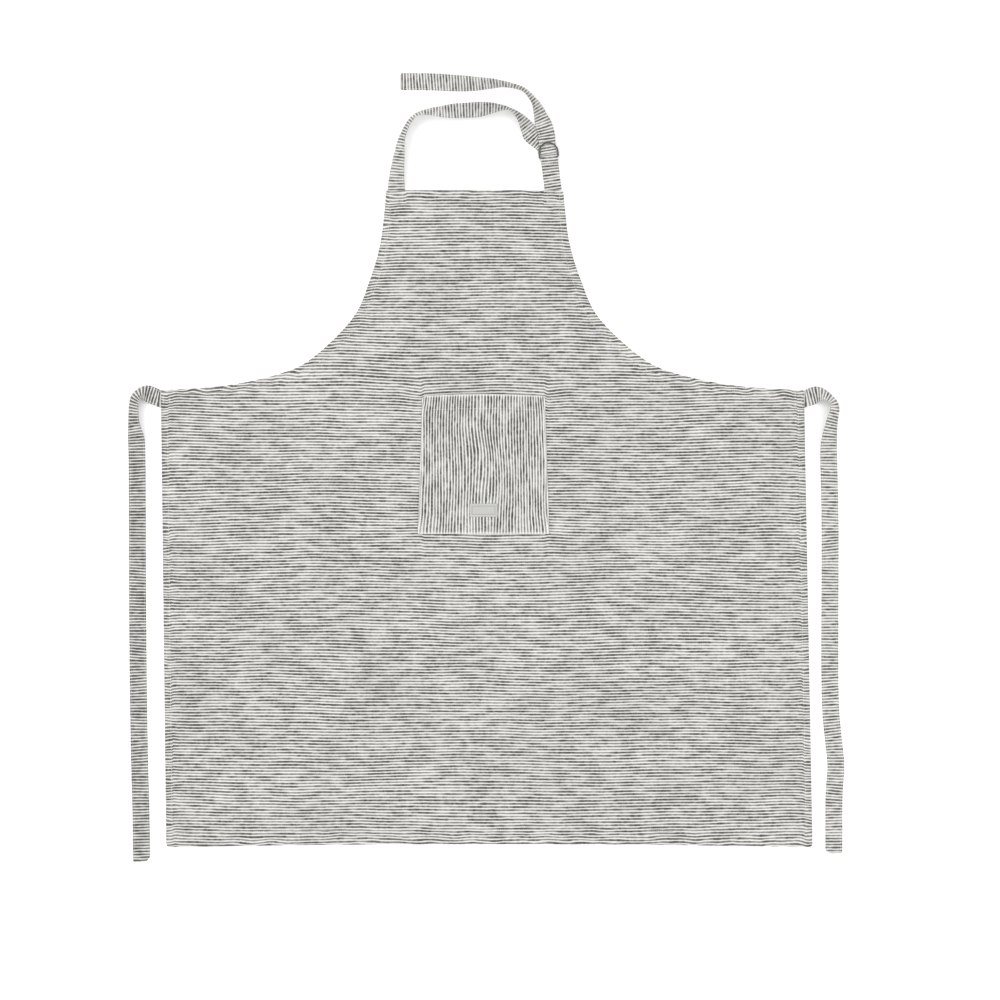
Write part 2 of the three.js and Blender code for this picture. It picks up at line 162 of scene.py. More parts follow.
def bump(tree, height, depth, strength):
    return made(tree, "Bump", {"Height": height, "Distance": depth, "Strength": strength})


def plainWeave(x, y, size):
    turns = 2 * math.pi / size
    return (x * turns).calc("SINE") * (y * turns).calc("SINE")


# cloth, label, rings and thread

clothLook = {
    "pitch": 0.003874,          # stripe to stripe
    "yarn": 0.0009,             # two yarns of the plain weave
    "ground": (0.662, 0.656, 0.632, 1),
    "ink": (0.016, 0.0155, 0.012, 1),
    # the fold colour is a painted highlight: a lighter ground along the cloth's folded edges
    "fold": (0.71, 0.705, 0.68, 1),
    "width": (0.47, 0.68),      # a stripe's half width, thin to slubby, as a share of half a pitch
    "soft": 0.19,               # how far a stripe's edge fades, likewise
    "strength": (0.62, 1.0),    # ink in a stripe, thin to slubby
    "under": 0.82,              # ink that still shows where the stripe goes under
    "waver": 0.0011,            # how far a stripe's edge wanders
    "stutter": 0.005,           # length of the short slubs
    "shortShare": 0.30,         # of short slubs against long ones
    "highlightFade": 0.6,              # ink faded under the painted highlight along a fold
    "relief": 0.00012,
    "sheen": 0.12,
}


def stripedCloth(name, look, slubLength, seed):
    material, tree, shader = newMaterial(name)
    along, across = clothPlace(tree)

    def patches(longSize, wideSize, shift, detail=2.0):
        at = vector(tree, along / longSize, across / wideSize, seed + shift)
        return cloud(tree, at, detail=detail)

    def slubs(length, stride, shift, high):
        # thick dark lengths of yarn, each on its own stripe
        at = vector(tree, along / length, row * stride, seed + shift)
        return ramp(tree, cloud(tree, at), 0.34, high)

    def byThickness(ends):
        return ramp(tree, thickness, 0.0, 1.0, *ends, kind="LINEAR")

    wander = patches(0.007, 0.002, 0.0, detail=3.0) * look["waver"] - look["waver"] / 2
    place = (across + wander) / look["pitch"]
    row = place.calc("FLOOR")
    offCentre = (place.calc("FRACT") * 2.0 - 1.0).calc("ABSOLUTE")
    thickness = (slubs(look["stutter"], 3.17, 9.0, 0.66) * look["shortShare"]
                 + slubs(slubLength, 7.31, 3.0, 0.62) * (1 - look["shortShare"]))
    half = byThickness(look["width"])
    band = ramp(tree, offCentre, half + look["soft"], half - look["soft"])
    # plain weave: the dark weft goes under every other pale warp yarn, and yarns vary in width
    weave = plainWeave(along, across, look["yarn"])
    over = weave + (patches(0.0008, 0.0008, 13.0) * 3.0 - 1.5)
    dark = band * (byThickness(look["strength"]) * ramp(tree, over, -0.75, 0.35, look["under"]))
    fibre = patches(0.0016, 0.0004, 5.0)
    worn = ramp(tree, patches(0.09, 0.09, 1.0, detail=1.0), 0.3, 0.7, 0.96, 1.02)
    tone = (weave * 0.035 + 0.93 + fibre * 0.14) * worn
    # painted highlight along folded edges: the ground turns lighter and the stripes fainter where
    # the attribute marks a fold
    foldHighlight = made(tree, "Attribute", (), "Fac", attribute_name="foldHighlight")
    ground = blendColour(tree, foldHighlight, look["ground"], look["fold"])
    striped = blendColour(tree, dark * (foldHighlight * -look["highlightFade"] + 1.0), ground, look["ink"])
    relief = band * 0.5 + (fibre * 0.6 + weave * 0.4)
    wire(tree, shader, {"Base Color": tinted(tree, striped, tone),
                        "Roughness": ramp(tree, fibre, 0.2, 0.8, 0.78, 0.95),
                        "Normal": bump(tree, relief, look["relief"], 0.6),
                        "Sheen Weight": look["sheen"], "Sheen Roughness": 0.5,
                        "Specular IOR Level": 0.2})
    return material


apronCloth = stripedCloth("apron cloth", clothLook, 0.030, 2.0)
pocketCloth = stripedCloth("pocket cloth", clothLook, 0.026, 21.0)
strapCloth = stripedCloth("strap cloth", clothLook, 0.022, 43.0)
# the left tie gets wider, darker stripes than the other straps
heavyLook = {**clothLook, "width": (0.56, 0.76), "strength": (0.78, 1.0)}
leftTieCloth = stripedCloth("left tie cloth", heavyLook, 0.022, 57.0)


labelSize = (labelBox[1].x - labelBox[0].x, labelBox[1].y - labelBox[0].y)
labelLook = {
    "thick": 0.0004, "yarn": 0.0009,
    "border": 0.0032,           # from the label's edge to its woven line
    "stitch": 0.0012,           # from its edge to its stitches
    "cloth": (0.445, 0.447, 0.422, 1), "line": (0.25, 0.25, 0.235, 1),
}


def wovenLabel(name, look):
    material, tree, shader = newMaterial(name)
    x, y = clothPlace(tree)
    weave = plainWeave(x, y, look["yarn"])
    grain = cloud(tree, vector(tree, x, y), scale=900.0, detail=3.0)
    fromSide, fromEnd = (place.calc("ABSOLUTE") * -1.0 + size / 2
                         for place, size in zip((x, y), labelSize))
    fromLine = (fromSide.calc("MINIMUM", fromEnd) - look["border"]).calc("ABSOLUTE")
    line = ramp(tree, fromLine, 0.0008, 0.0003)
    colour = blendColour(tree, line * 0.55, look["cloth"], look["line"])
    wire(tree, shader, {"Base Color": tinted(tree, colour, weave * 0.07 + 0.86 + grain * 0.24),
                        "Roughness": ramp(tree, grain, 0.2, 0.8, 0.62, 0.82),
                        "Normal": bump(tree, line * 1.2 + weave, 0.0001, 0.6),
                        "Sheen Weight": 0.1})
    return material


labelCloth = wovenLabel("label cloth", labelLook)


def drawnWire(name, dark, bright):
    material, tree, shader = newMaterial(name)
    blotch = cloud(tree, objectPlace(tree), scale=160.0)
    scratch = cloud(tree, objectPlace(tree), scale=2600.0, rough=0.7)
    wire(tree, shader, {"Base Color": blendColour(tree, ramp(tree, blotch, 0.3, 0.7), dark, bright),
                        "Roughness": ramp(tree, scratch, 0.25, 0.75, 0.2, 0.42),
                        "Normal": bump(tree, scratch, 0.00003, 0.5), "Metallic": 1.0})
    return material


ringSteel = drawnWire("ring steel", (0.06, 0.06, 0.057, 1), (0.20, 0.20, 0.19, 1))


def cottonThread(name, shade, light):
    material, tree, shader = newMaterial(name)
    fluff = cloud(tree, objectPlace(tree), scale=2200.0)
    wire(tree, shader, {"Base Color": blendColour(tree, fluff, shade, light),
                        "Roughness": ramp(tree, fluff, 0.2, 0.8, 0.6, 0.85),
                        "Normal": bump(tree, fluff, 0.00008, 0.5), "Sheen Weight": 0.15})
    return material


sewingThread = cottonThread("sewing thread", (0.57, 0.565, 0.54, 1), (0.75, 0.745, 0.72, 1))
print("materials made")


# mesh helpers

def smoothStep(low, high, value):
    share = np.clip((np.asarray(value, float) - low) / (high - low), 0, 1)
    return share * share * (3 - 2 * share)


def ripple(x, y, sizeX, sizeY, seed):
    # gradient noise at each point, about -0.5 to 0.5
    return np.array([noise.noise((a / sizeX, b / sizeY, seed))
                     for a, b in zip(np.ravel(x), np.ravel(y))])


def rippled(x, y, waves):
    # waves are (height, size across, size up, seed)
    return sum(height * ripple(x, y, *shape) for height, *shape in waves)


def runAlong(points):
    # how far along a line each of its points is
    return np.concatenate([[0], np.cumsum(np.linalg.norm(np.diff(points, axis=0), axis=1))])


def putMesh(name, points, faces, material, uvs=None):
    mesh = bpy.data.meshes.new(name)
    mesh.from_pydata([tuple(p) for p in points], [], [tuple(f) for f in faces])
    mesh.polygons.foreach_set("use_smooth", [True] * len(mesh.polygons))
    if uvs is not None:
        layer = mesh.uv_layers.new(name="cloth")
        index = np.zeros(len(mesh.loops), np.int32)
        mesh.loops.foreach_get("vertex_index", index)
        layer.data.foreach_set("uv", np.asarray(uvs, np.float32)[index].ravel())
    mesh.materials.append(material)
    mesh.update()
    piece = bpy.data.objects.new(name, mesh)
    scene.collection.objects.link(piece)
    return piece


def insideOutline(outline, x, y):
    inside = np.zeros(len(x), bool)
    for (x0, y0), (x1, y1) in zip(outline, np.roll(outline, -1, axis=0)):
        if y0 == y1:
            continue
        crosses = ((y0 > y) != (y1 > y)) & (x < (x1 - x0) * (y - y0) / (y1 - y0) + x0)
        inside ^= crosses
    return inside


def evenly(points, step, closed=False):
    # the same line with its points a step apart, corners kept
    points = np.asarray(points, float)
    if closed:
        points = np.vstack([points, points[:1]])
    out = []
    for a, b in zip(points[:-1], points[1:]):
        count = max(1, int(round(np.linalg.norm(b - a) / step)))
        out += [a + (b - a) * k / count for k in range(count)]
    if not closed:
        out.append(points[-1])
    return np.array(out)


def cutCloth(outline, lines, spacing):
    # flat triangles inside an outline, with edges along every line and a grid between, and
    # their whole area; grid points stay clear of the lines, and slivers are dropped
    clear, sliver = spacing * 0.55, 5e-13
    points, edges = [], []
    tree = kdtree.KDTree(len(outline) + sum(len(line) for line, closed in lines))
    for line, closed in [(outline, True), *lines]:
        start = len(points)
        for p in line:
            tree.insert((p[0], p[1], 0), len(points))
            points.append(Vector(p))
        count = len(line)
        edges += [(start + k, start + (k + 1) % count)
                  for k in range(count if closed else count - 1)]
    tree.balance()
    low, high = outline.min(0), outline.max(0)
    gx, gy = np.meshgrid(np.arange(low[0] + spacing / 2, high[0], spacing),
                         np.arange(low[1] + spacing / 2, high[1], spacing))
    gx, gy = gx.ravel(), gy.ravel()
    keep = insideOutline(outline, gx, gy)
    for x, y in zip(gx[keep], gy[keep]):
        if tree.find((x, y, 0))[2] > clear:
            points.append(Vector((x, y)))
    result = delaunay_2d_cdt(points, edges, [list(range(len(outline)))], 1, 1e-7)
    flat = np.array([tuple(p) for p in result[0]])
    faces = [tuple(f) for f in result[2]]
    used = sorted({k for f in faces for k in f})
    renumber = {old: new for new, old in enumerate(used)}
    flat, faces = flat[used], [tuple(renumber[k] for k in f) for f in faces]
    turned, whole = [], 0.0
    for a, b, c in faces:
        area = np.cross(flat[b] - flat[a], flat[c] - flat[a]) / 2
        if abs(area) > sliver:
            turned.append((a, b, c) if area > 0 else (a, c, b))
            whole += abs(area)
    return flat, turned, whole


def clothShell(name, flat, faces, bottom, top, uv, material, foldHighlight=None, bulge=0.3):
    # both faces of a cloth and the rounded fold round its edge, as one closed mesh; the fold
    # bulges out by a share of the cloth's thickness
    count = len(flat)
    edges = dict.fromkeys(pair for a, b, c in faces for pair in ((a, b), (b, c), (c, a)))
    rim = [pair for pair in edges if pair[::-1] not in edges]
    outward = np.zeros((count, 2))
    for a, b in rim:
        run = flat[b] - flat[a]
        side = np.array([run[1], -run[0]]) / max(np.linalg.norm(run), 1e-9)
        outward[a] += side
        outward[b] += side
    onRim = sorted({k for pair in rim for k in pair})
    middleOf = {k: 2 * count + n for n, k in enumerate(onRim)}
    fold = []
    for k in onRim:
        push = outward[k] / max(np.linalg.norm(outward[k]), 1e-9)
        fold.append([*(flat[k] + push * (top[k] - bottom[k]) * bulge), (top[k] + bottom[k]) / 2])
    points = np.vstack([np.column_stack([flat, top]), np.column_stack([flat, bottom]), fold])
    shell = list(faces) + [(c + count, b + count, a + count) for a, b, c in faces]
    for a, b in rim:
        shell.append((b, a, middleOf[a], middleOf[b]))
        shell.append((middleOf[b], middleOf[a], a + count, b + count))
    uvs = np.vstack([uv, uv, uv[onRim]])
    piece = putMesh(name, points, shell, material, uvs)
    # each point's share of the painted highlight along the cloth's folded edges
    if foldHighlight is not None:
        attribute = piece.data.attributes.new("foldHighlight", "FLOAT", "POINT")
        attribute.data.foreach_set("value", np.concatenate(
            [foldHighlight, foldHighlight, foldHighlight[onRim]]).astype(np.float32))
    return piece


# the apron's panel

panelCut = {
    "bibWidth": 0.229, "bibHeight": 0.260, "bibShift": -0.010,
    "waistWidth": 0.835, "hemWidth": 0.839, "hemShift": 0.009,
    "skirtLength": 0.593, "hemRise": 0.004, "cornerRadius": 0.004,
    "cloth": 0.0007, "hem": 0.0015,     # thick
    "bibHem": 0.020, "sideHem": 0.009, "armholeHem": 0.007, "bottomHem": 0.020,
    "stitchInset": 0.0016, "padMargin": 0.003, "spacing": 0.005, "edgeSpacing": 0.004,
    "groove": 0.0009, "grooveDepth": 0.00022,
    "armhole": [(0, 1), (0.024, 0.75), (0.074, 0.55), (0.15, 0.36), (0.33, 0.16), (0.48, 0.08),
                (0.72, 0.022), (1, 0)],
    # how it lies and how its stripes stray: height, size across, size up, seed
    "lift": 0.00055,
    "waves": ((0.0011, 0.11, 0.08, 3.1), (0.0005, 0.035, 0.03, 8.4)),
    "stray": ((0.0042, 0.21, 0.13, 1.3), (0.0011, 0.055, 0.04, 6.6)),
    "straySide": (0.0028, 0.016, 0.012, 4.2), "strayEnd": (0.0020, 0.024, 0.012, 9.9),
    "hemJog": 0.0007,
    # soft creases: start, end, half width, height, all from the waist's middle
    "creases": [
        ((-0.185, -0.270), (-0.120, -0.385), 0.014, 0.0022),
        ((-0.150, -0.250), (-0.060, -0.330), 0.012, 0.0014),
        ((-0.395, -0.020), (-0.250, -0.110), 0.016, 0.0018),
        ((0.395, -0.030), (0.260, -0.120), 0.016, 0.0016),
        ((0.120, -0.290), (0.300, -0.400), 0.020, 0.0016),
        ((-0.330, -0.430), (-0.180, -0.520), 0.020, 0.0014),
        ((0.040, -0.480), (0.210, -0.540), 0.018, 0.0012),
        ((-0.070, 0.190), (0.030, 0.090), 0.018, 0.0012),
        ((0.330, -0.210), (0.395, -0.330), 0.014, 0.0016),
    ],
}
cut = panelCut                  # in short, for the functions below
noInset = {"bib": 0, "side": 0, "armhole": 0, "bottom": 0}


def sideAt(side, y):
    down = -y / cut["skirtLength"]
    return (side * (cut["waistWidth"] + (cut["hemWidth"] - cut["waistWidth"]) * down) / 2
            + cut["hemShift"] * down)


def armholeLine(side, inset, count=90):
    # uniform Catmull-Rom through the shares, as in the CAD
    bibX = cut["bibShift"] + side * cut["bibWidth"] / 2 - side * inset["armhole"]
    endX = sideAt(side, 0) - side * inset["side"]
    top = cut["bibHeight"] - inset["bib"]
    p = np.array([(bibX + (endX - bibX) * out, -inset["armhole"] + (top + inset["armhole"]) * up)
                  for out, up in cut["armhole"]])
    p = np.vstack([p[:1], p, p[-1:]])
    place = np.linspace(0, len(p) - 3 - 1e-9, count)
    k, t = place.astype(int), (place % 1)[:, None]
    v0, v1 = (p[k + 2] - p[k]) / 2, (p[k + 3] - p[k + 1]) / 2
    a, b = p[k + 1], p[k + 2]
    return ((2 * a - 2 * b + v0 + v1) * t ** 3 + (-3 * a + 3 * b - 2 * v0 - v1) * t ** 2
            + v0 * t + a)


def bottomAt(x, bottom, left, right):
    share = np.clip((x - left) / (right - left), 0, 1)
    return bottom + 4 * cut["hemRise"] * share * (1 - share)


def panelOutline(inset):
    bottom = -cut["skirtLength"] + inset["bottom"]
    left = sideAt(-1, bottom) + inset["side"]
    right = sideAt(1, bottom) - inset["side"]
    r = cut["cornerRadius"]
    points = [tuple(p) for p in armholeLine(1, inset)]
    points += [(right, bottom + r), (right - r * 0.25, bottom + r * 0.3), (right - r, bottom)]
    xs = np.linspace(right - r, left + r, 60)[1:-1]
    points += [(x, bottomAt(x, bottom, left + r, right - r)) for x in xs]
    points += [(left + r, bottom), (left + r * 0.25, bottom + r * 0.3), (left, bottom + r)]
    points += [tuple(p) for p in armholeLine(-1, inset)[::-1]]
    return np.array(points)[::-1]


def inset(amount):
    # the hem's inner edge, moved in or out by an amount
    return {"bib": cut["bibHem"] + amount, "side": cut["sideHem"] + amount,
            "armhole": cut["armholeHem"] + amount, "bottom": cut["bottomHem"] + amount}


tabs = [{"x": (box[0].x - waistX, box[1].x - waistX), "y": (box[0].y - waistY, box[1].y - waistY),
         "thick": layers * strapThick}
        for box, layers in ((neckTab, 1), (ringTab, 2), (leftTab, 1), (rightTab, 1))]

armholes = np.vstack([armholeLine(1, noInset, 260), armholeLine(-1, noInset, 260)])
armholeTree = kdtree.KDTree(len(armholes))
for k, p in enumerate(armholes):
    armholeTree.insert((p[0], p[1], 0), k)
armholeTree.balance()

pocketX = (pocketBox[0].x + pocketBox[1].x) / 2 - waistX
pocketTopY = pocketBox[1].y - waistY
pocketFloorY = pocketBox[0].y - waistY
pocketHalf = (pocketBox[1].x - pocketBox[0].x) / 2


def edgeDistances(x, y):
    floorY = -cut["skirtLength"]
    side = np.minimum(x - sideAt(-1, y), sideAt(1, y) - x)
    bottom = y - bottomAt(x, floorY, sideAt(-1, floorY), sideAt(1, floorY))
    arm = np.array([armholeTree.find((a, b, 0))[2] for a, b in zip(x, y)])
    return np.where(y < 0, side, 1.0), bottom, cut["bibHeight"] - y, arm


def hemAndGroove(hems, soft):
    # 1 on a hem and 1 on its stitches; hems are (distance in from the edge, depth, stitches in)
    hem = [smoothStep(depth + soft, depth - soft, distance) for distance, depth, stitch in hems]
    groove = [np.exp(-((distance - stitch) / cut["groove"]) ** 2)
              for distance, depth, stitch in hems]
    return np.max(hem, axis=0), np.max(groove, axis=0)


def outsideTab(tab, x, y):
    return np.maximum(np.maximum(tab["x"][0] - x, x - tab["x"][1]),
                      np.maximum(tab["y"][0] - y, y - tab["y"][1]))


def creaseLift(x, y, start, end, half, height, bow=0.008):
    # a soft ridge from start to end, bowed to one side and fading at both ends
    run = np.array(end) - np.array(start)
    length = np.linalg.norm(run)
    run = run / length
    s = (x - start[0]) * run[0] + (y - start[1]) * run[1]
    t = (-(x - start[0]) * run[1] + (y - start[1]) * run[0]
         - bow * np.sin(s / length * math.pi))
    ends = smoothStep(-0.02, length * 0.35, s) * smoothStep(length + 0.02, length * 0.65, s)
    return height * ends * np.exp(-(t / half) ** 2)


def panelHeights(x, y):
    x, y = np.asarray(x, float), np.asarray(y, float)
    side, bottom, bib, arm = edgeDistances(x, y)
    depths = [cut[key] for key in ("sideHem", "bottomHem", "bibHem", "armholeHem")]
    hem, groove = hemAndGroove([(distance, depth, depth - cut["stitchInset"]) for distance, depth
                                in zip((side, bottom, bib, arm), depths)], 0.0009)
    edge = np.min([side, bottom, bib, arm], axis=0)
    # low waves and soft creases lift the cloth off the table, least at its hems and pocket
    pastPocket = np.maximum(np.abs(x - pocketX) - pocketHalf,
                            np.maximum(y - pocketTopY, pocketFloorY - y))
    free = smoothStep(0.004, 0.045, edge) * smoothStep(0.0, 0.03, pastPocket)
    lift = cut["lift"] + rippled(x, y, cut["waves"])
    for crease in cut["creases"]:
        lift = lift + creaseLift(x, y, *crease)
    pucker = 0.00022 * (0.5 + ripple(x, y, 0.007, 0.007, 5.0)) * smoothStep(0.03, 0.004, edge)
    low = np.maximum(lift, 0) * free + pucker
    top = low + cut["cloth"] + (cut["hem"] - cut["cloth"]) * hem - cut["grooveDepth"] * groove
    low = low * (1 - hem * 0.6)
    for tab in tabs:
        over = smoothStep(cut["padMargin"], 0.0004, outsideTab(tab, x, y))
        roof = tab["thick"] + clearance + cut["cloth"]
        low = low + (tab["thick"] + clearance * 0.7 - low) * over
        top = top + (np.maximum(roof, top) - top) * over
    return low, top


def panelWarp(x, y):
    # how far the stripes stray from straight, up the cloth
    side, bottom, bib, arm = edgeDistances(x, y)
    stray = rippled(x, y, cut["stray"])
    stray += rippled(x, y, [cut["straySide"]]) * smoothStep(0.024, 0.0, np.minimum(side, arm))
    stray += rippled(x, y, [cut["strayEnd"]]) * smoothStep(0.032, 0.0, np.minimum(bib, bottom))
    for tab in tabs:
        stray += 0.0009 * smoothStep(0.0024, 0.0004, outsideTab(tab, x, y))
    hemBand = smoothStep(cut["sideHem"] + 0.0005, cut["sideHem"] - 0.0005, side)
    stray += hemBand * (cut["hemJog"] + 0.0018 * ripple(x * 0, y, 1.0, 0.045, 2.2))
    # stripes arch over the pocket's mouth and dip to its corners
    besideX = (x - pocketX) / (pocketHalf * 0.95)
    above = np.clip(y - pocketTopY, 0, None)
    arch = np.cos(np.clip(besideX, -1, 1) * math.pi / 2) - 0.55
    near = smoothStep(0.03, 0.0, above) * (y > pocketTopY - 0.004)
    stray -= 0.0030 * arch * near * smoothStep(1.35, 0.9, np.abs(besideX))
    outsideX = np.abs(x - pocketX) - pocketHalf * 0.95
    corner = smoothStep(0.035, 0.0, np.abs(outsideX)) * (outsideX > 0)
    stray += 0.0026 * corner * np.exp(-((y - pocketTopY + 0.004) / 0.022) ** 2)
    stray -= 0.0012 * corner * np.exp(-((y - pocketFloorY) / 0.025) ** 2)
    return stray


outline = evenly(panelOutline(noInset), cut["edgeSpacing"], closed=True)
lines = [(evenly(panelOutline(inset(amount)), cut["edgeSpacing"], closed=True), True)
         for amount in (0.0009, -0.0009, -0.0017, -0.0026)]
for tab in tabs:
    for grow in (0.0004, 0.0017, 0.003):
        x0, x1 = tab["x"][0] - grow, tab["x"][1] + grow
        y0, y1 = tab["y"][0] - grow, tab["y"][1] + grow
        ring = evenly([(x0, y0), (x1, y0), (x1, y1), (x0, y1)], 0.003, closed=True)
        within = insideOutline(outline, ring[:, 0], ring[:, 1])
        # loose points only: the outline crosses these rings
        lines += [(np.array([p]), False) for p, inside in zip(ring, within) if inside and
                  min(abs(p[1] - cut["bibHeight"]), abs(p[0] - sideAt(-1, p[1])),
                      abs(p[0] - sideAt(1, p[1]))) > 0.0006]
flat, faces, flatArea = cutCloth(outline, lines, cut["spacing"])
low, top = panelHeights(flat[:, 0], flat[:, 1])
x, y = flat.T
panelUv = np.column_stack([x + 0.001 * ripple(x, y, 0.05, 0.05, 7.7),
                           y - cut["bibHeight"] + panelWarp(x, y)])
print("panel cut:", len(flat), "points,", len(faces), "triangles a side")
panel = clothShell("apron_panel", flat + np.array([waistX, waistY]), faces, low, top, panelUv,
                   apronCloth)
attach(panel, "apron")
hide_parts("panel")


# pocket and label

pocketCut = {
    "topWidth": 0.159, "bottomWidth": 0.170, "bow": 0.002, "corner": 0.005,
    "mouthHem": 0.020, "edgeHem": 0.006, "stitch": 0.0035, "grooveDepth": 0.0002,
    "spacing": 0.0035, "edgeSpacing": 0.0028, "lineSpacing": 0.003,
    "back": 0.0010, "puff": 0.0016,
    "stray": ((0.0018, 0.034, 0.080, 31.0), (0.0007, 0.012, 0.030, 33.0)),
    # lines that the hems bend along: in from the edge, down from the mouth
    "bends": ((0.0009, 0.0009), (0.0018, 0.0018), (0.0027, 0.0029), (0.0036, 0.0042),
              (0.0052, 0.0175), (0.0068, 0.0192), (0.0078, 0.0208)),
}
pocketHeight = pocketTopY - pocketFloorY


def pocketOutline(edge, mouth):
    c = pocketCut
    top, floor = pocketTopY - mouth, pocketFloorY + edge
    topHalf, floorHalf = c["topWidth"] / 2 - edge, c["bottomWidth"] / 2 - edge
    r, bow = c["corner"], c["bow"]
    xs = np.linspace(topHalf - r, -topHalf + r, 40)
    arc = [(x, top - bow * (x / (topHalf - r)) ** 2) for x in xs]
    turn = [(math.sin(a), math.cos(a)) for a in np.linspace(math.pi / 2, 0, 6)[:-1]]
    right = [(topHalf - r + r * s, top - bow - r + r * t) for s, t in turn]
    left = [(-x, y) for x, y in right[::-1]]
    return np.array([(-floorHalf, floor), (floorHalf, floor), *right, *arc, *left])


def pocketEdge(x, y):
    # distance in from the pocket's sides and floor, down from its mouth, and its half width there
    c = pocketCut
    share = (pocketTopY - y) / pocketHeight
    half = (c["topWidth"] + (c["bottomWidth"] - c["topWidth"]) * share) / 2
    mouth = pocketTopY - c["bow"] * (x / (c["topWidth"] / 2)) ** 2 - y
    return np.minimum(half - np.abs(x), y - pocketFloorY), mouth, half


def pocketHeights(x, y):
    x, y = np.asarray(x, float), np.asarray(y, float)
    edge, mouth, half = pocketEdge(x, y)
    c = pocketCut
    hem, groove = hemAndGroove([(edge, c["edgeHem"], c["stitch"]),
                                (mouth, c["mouthHem"], c["mouthHem"] - cut["stitchInset"])], 0.0008)
    puff = c["puff"] * smoothStep(0.002, 0.05, edge) * (0.65 + 0.6 * ripple(x, y, 0.06, 0.09, 12.0))
    puff += 0.0012 * smoothStep(0.05, 0.0, mouth) * smoothStep(0.004, 0.05, edge)
    fold = np.exp(-((x - 0.012 + (y - pocketFloorY - 0.11) * 0.32) / 0.011) ** 2)
    puff += 0.0009 * fold * smoothStep(0.01, 0.04, edge)
    low = c["back"] + np.maximum(puff, 0)
    pucker = 0.00018 * (0.5 + ripple(x, y, 0.006, 0.006, 15.0)) * smoothStep(0.012, 0.002, edge)
    top = (low + pucker + cut["cloth"] + (cut["hem"] - cut["cloth"]) * hem
           - c["grooveDepth"] * groove)
    return low, top


def pocketWarp(x, y):
    edge, mouth, half = pocketEdge(x, y)
    # stripes follow the sloping sides and curl out at the lower corners, in at the upper ones
    beside = np.clip(np.abs(x) / half, 0, 1)
    up = y - pocketFloorY
    slope = x * (0.5 * pocketCut["bottomWidth"] / half - 1.0) * beside ** 2
    lowEnd = smoothStep(0.030, 0.0, up) * beside ** 3
    highEnd = smoothStep(0.024, 0.0, mouth) * beside ** 4
    stray = slope * 0.7 + np.sign(x) * (0.0030 * highEnd - 0.0032 * lowEnd)
    # a soft slanting fold pushes the middle stripes aside
    centre = 0.004 - (up - 0.105) * 0.34
    shoved = smoothStep(0.142, 0.098, up) * smoothStep(0.0, 0.085, up)
    stray -= 0.0036 * shoved * np.exp(-((x - centre) / 0.021) ** 2)
    stray += 0.0010 * np.exp(-((x + 0.020) / 0.016) ** 2 - ((up - 0.135) / 0.030) ** 2)
    return stray + rippled(x, y, pocketCut["stray"])


outline = evenly(pocketOutline(0, 0), pocketCut["edgeSpacing"], closed=True)
lines = [(evenly(pocketOutline(edge, mouth), pocketCut["lineSpacing"], closed=True), True)
         for edge, mouth in pocketCut["bends"]]
flat, faces, pocketArea = cutCloth(outline, lines, pocketCut["spacing"])
x, y = flat.T
low, top = pocketHeights(x, y)
edge, mouth, half = pocketEdge(x, y)
# painted highlight along the pocket's folded sides, floor and mouth
foldHighlight = smoothStep(0.0026, 0.0010, np.minimum(edge, mouth))
pocketUv = np.column_stack([y - pocketFloorY, x + pocketWarp(x, y)])
pocket = clothShell("front_pocket", flat + np.array([waistX + pocketX, waistY]), faces, low, top,
                    pocketUv, pocketCloth, foldHighlight)
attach(pocket, "apron")
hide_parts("pocket")

labelX = (labelBox[0].x + labelBox[1].x) / 2 - waistX - pocketX
labelY = (labelBox[0].y + labelBox[1].y) / 2 - waistY


def labelLine(inside, step):
    x, y = labelSize[0] / 2 - inside, labelSize[1] / 2 - inside
    return evenly([(-x, -y), (x, -y), (x, y), (-x, y)], step, closed=True)


stitch = labelLook["stitch"]
flat, faces = cutCloth(labelLine(0, 0.0012), [(labelLine(stitch, 0.0014), True)], 0.0016)[:2]
x, y = flat.T
fromEdge = np.minimum(labelSize[0] / 2 - np.abs(x), labelSize[1] / 2 - np.abs(y))
low = pocketHeights(x + labelX, y + labelY)[1] + 0.00012
top = low + labelLook["thick"] - 0.00014 * np.exp(-((fromEdge - stitch) / 0.0006) ** 2)
label = clothShell("pocket_label_blank",
                   flat + np.array([waistX + pocketX + labelX, waistY + labelY]), faces, low, top,
                   flat, labelCloth)
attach(label, "apron")
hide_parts("pocket_label")
print("pocket and label made")


# straps and ties

strapCut = {
    "sample": 1.0,              # millimetres between places on a route, before it is thinned
    "step": 0.0022,             # between the sections kept
    "groove": (0.80, 0.36),     # topstitching: out as a share of half the width, up in thicknesses
    "tuck": 0.0008,             # the free end starts this far inside the neck strap
}
ringCut = {                     # millimetres and degrees
    "lean": 7.25, "reach": 43.0, "wire": 2.0, "height": 19.0, "corner": 1.6,
    "gap": 0.3, "inside": 20.0, "sections": 120, "sides": 14,
}
ringReach, ringWire, gap, inRings = (ringCut[key] for key in ("reach", "wire", "gap", "inside"))


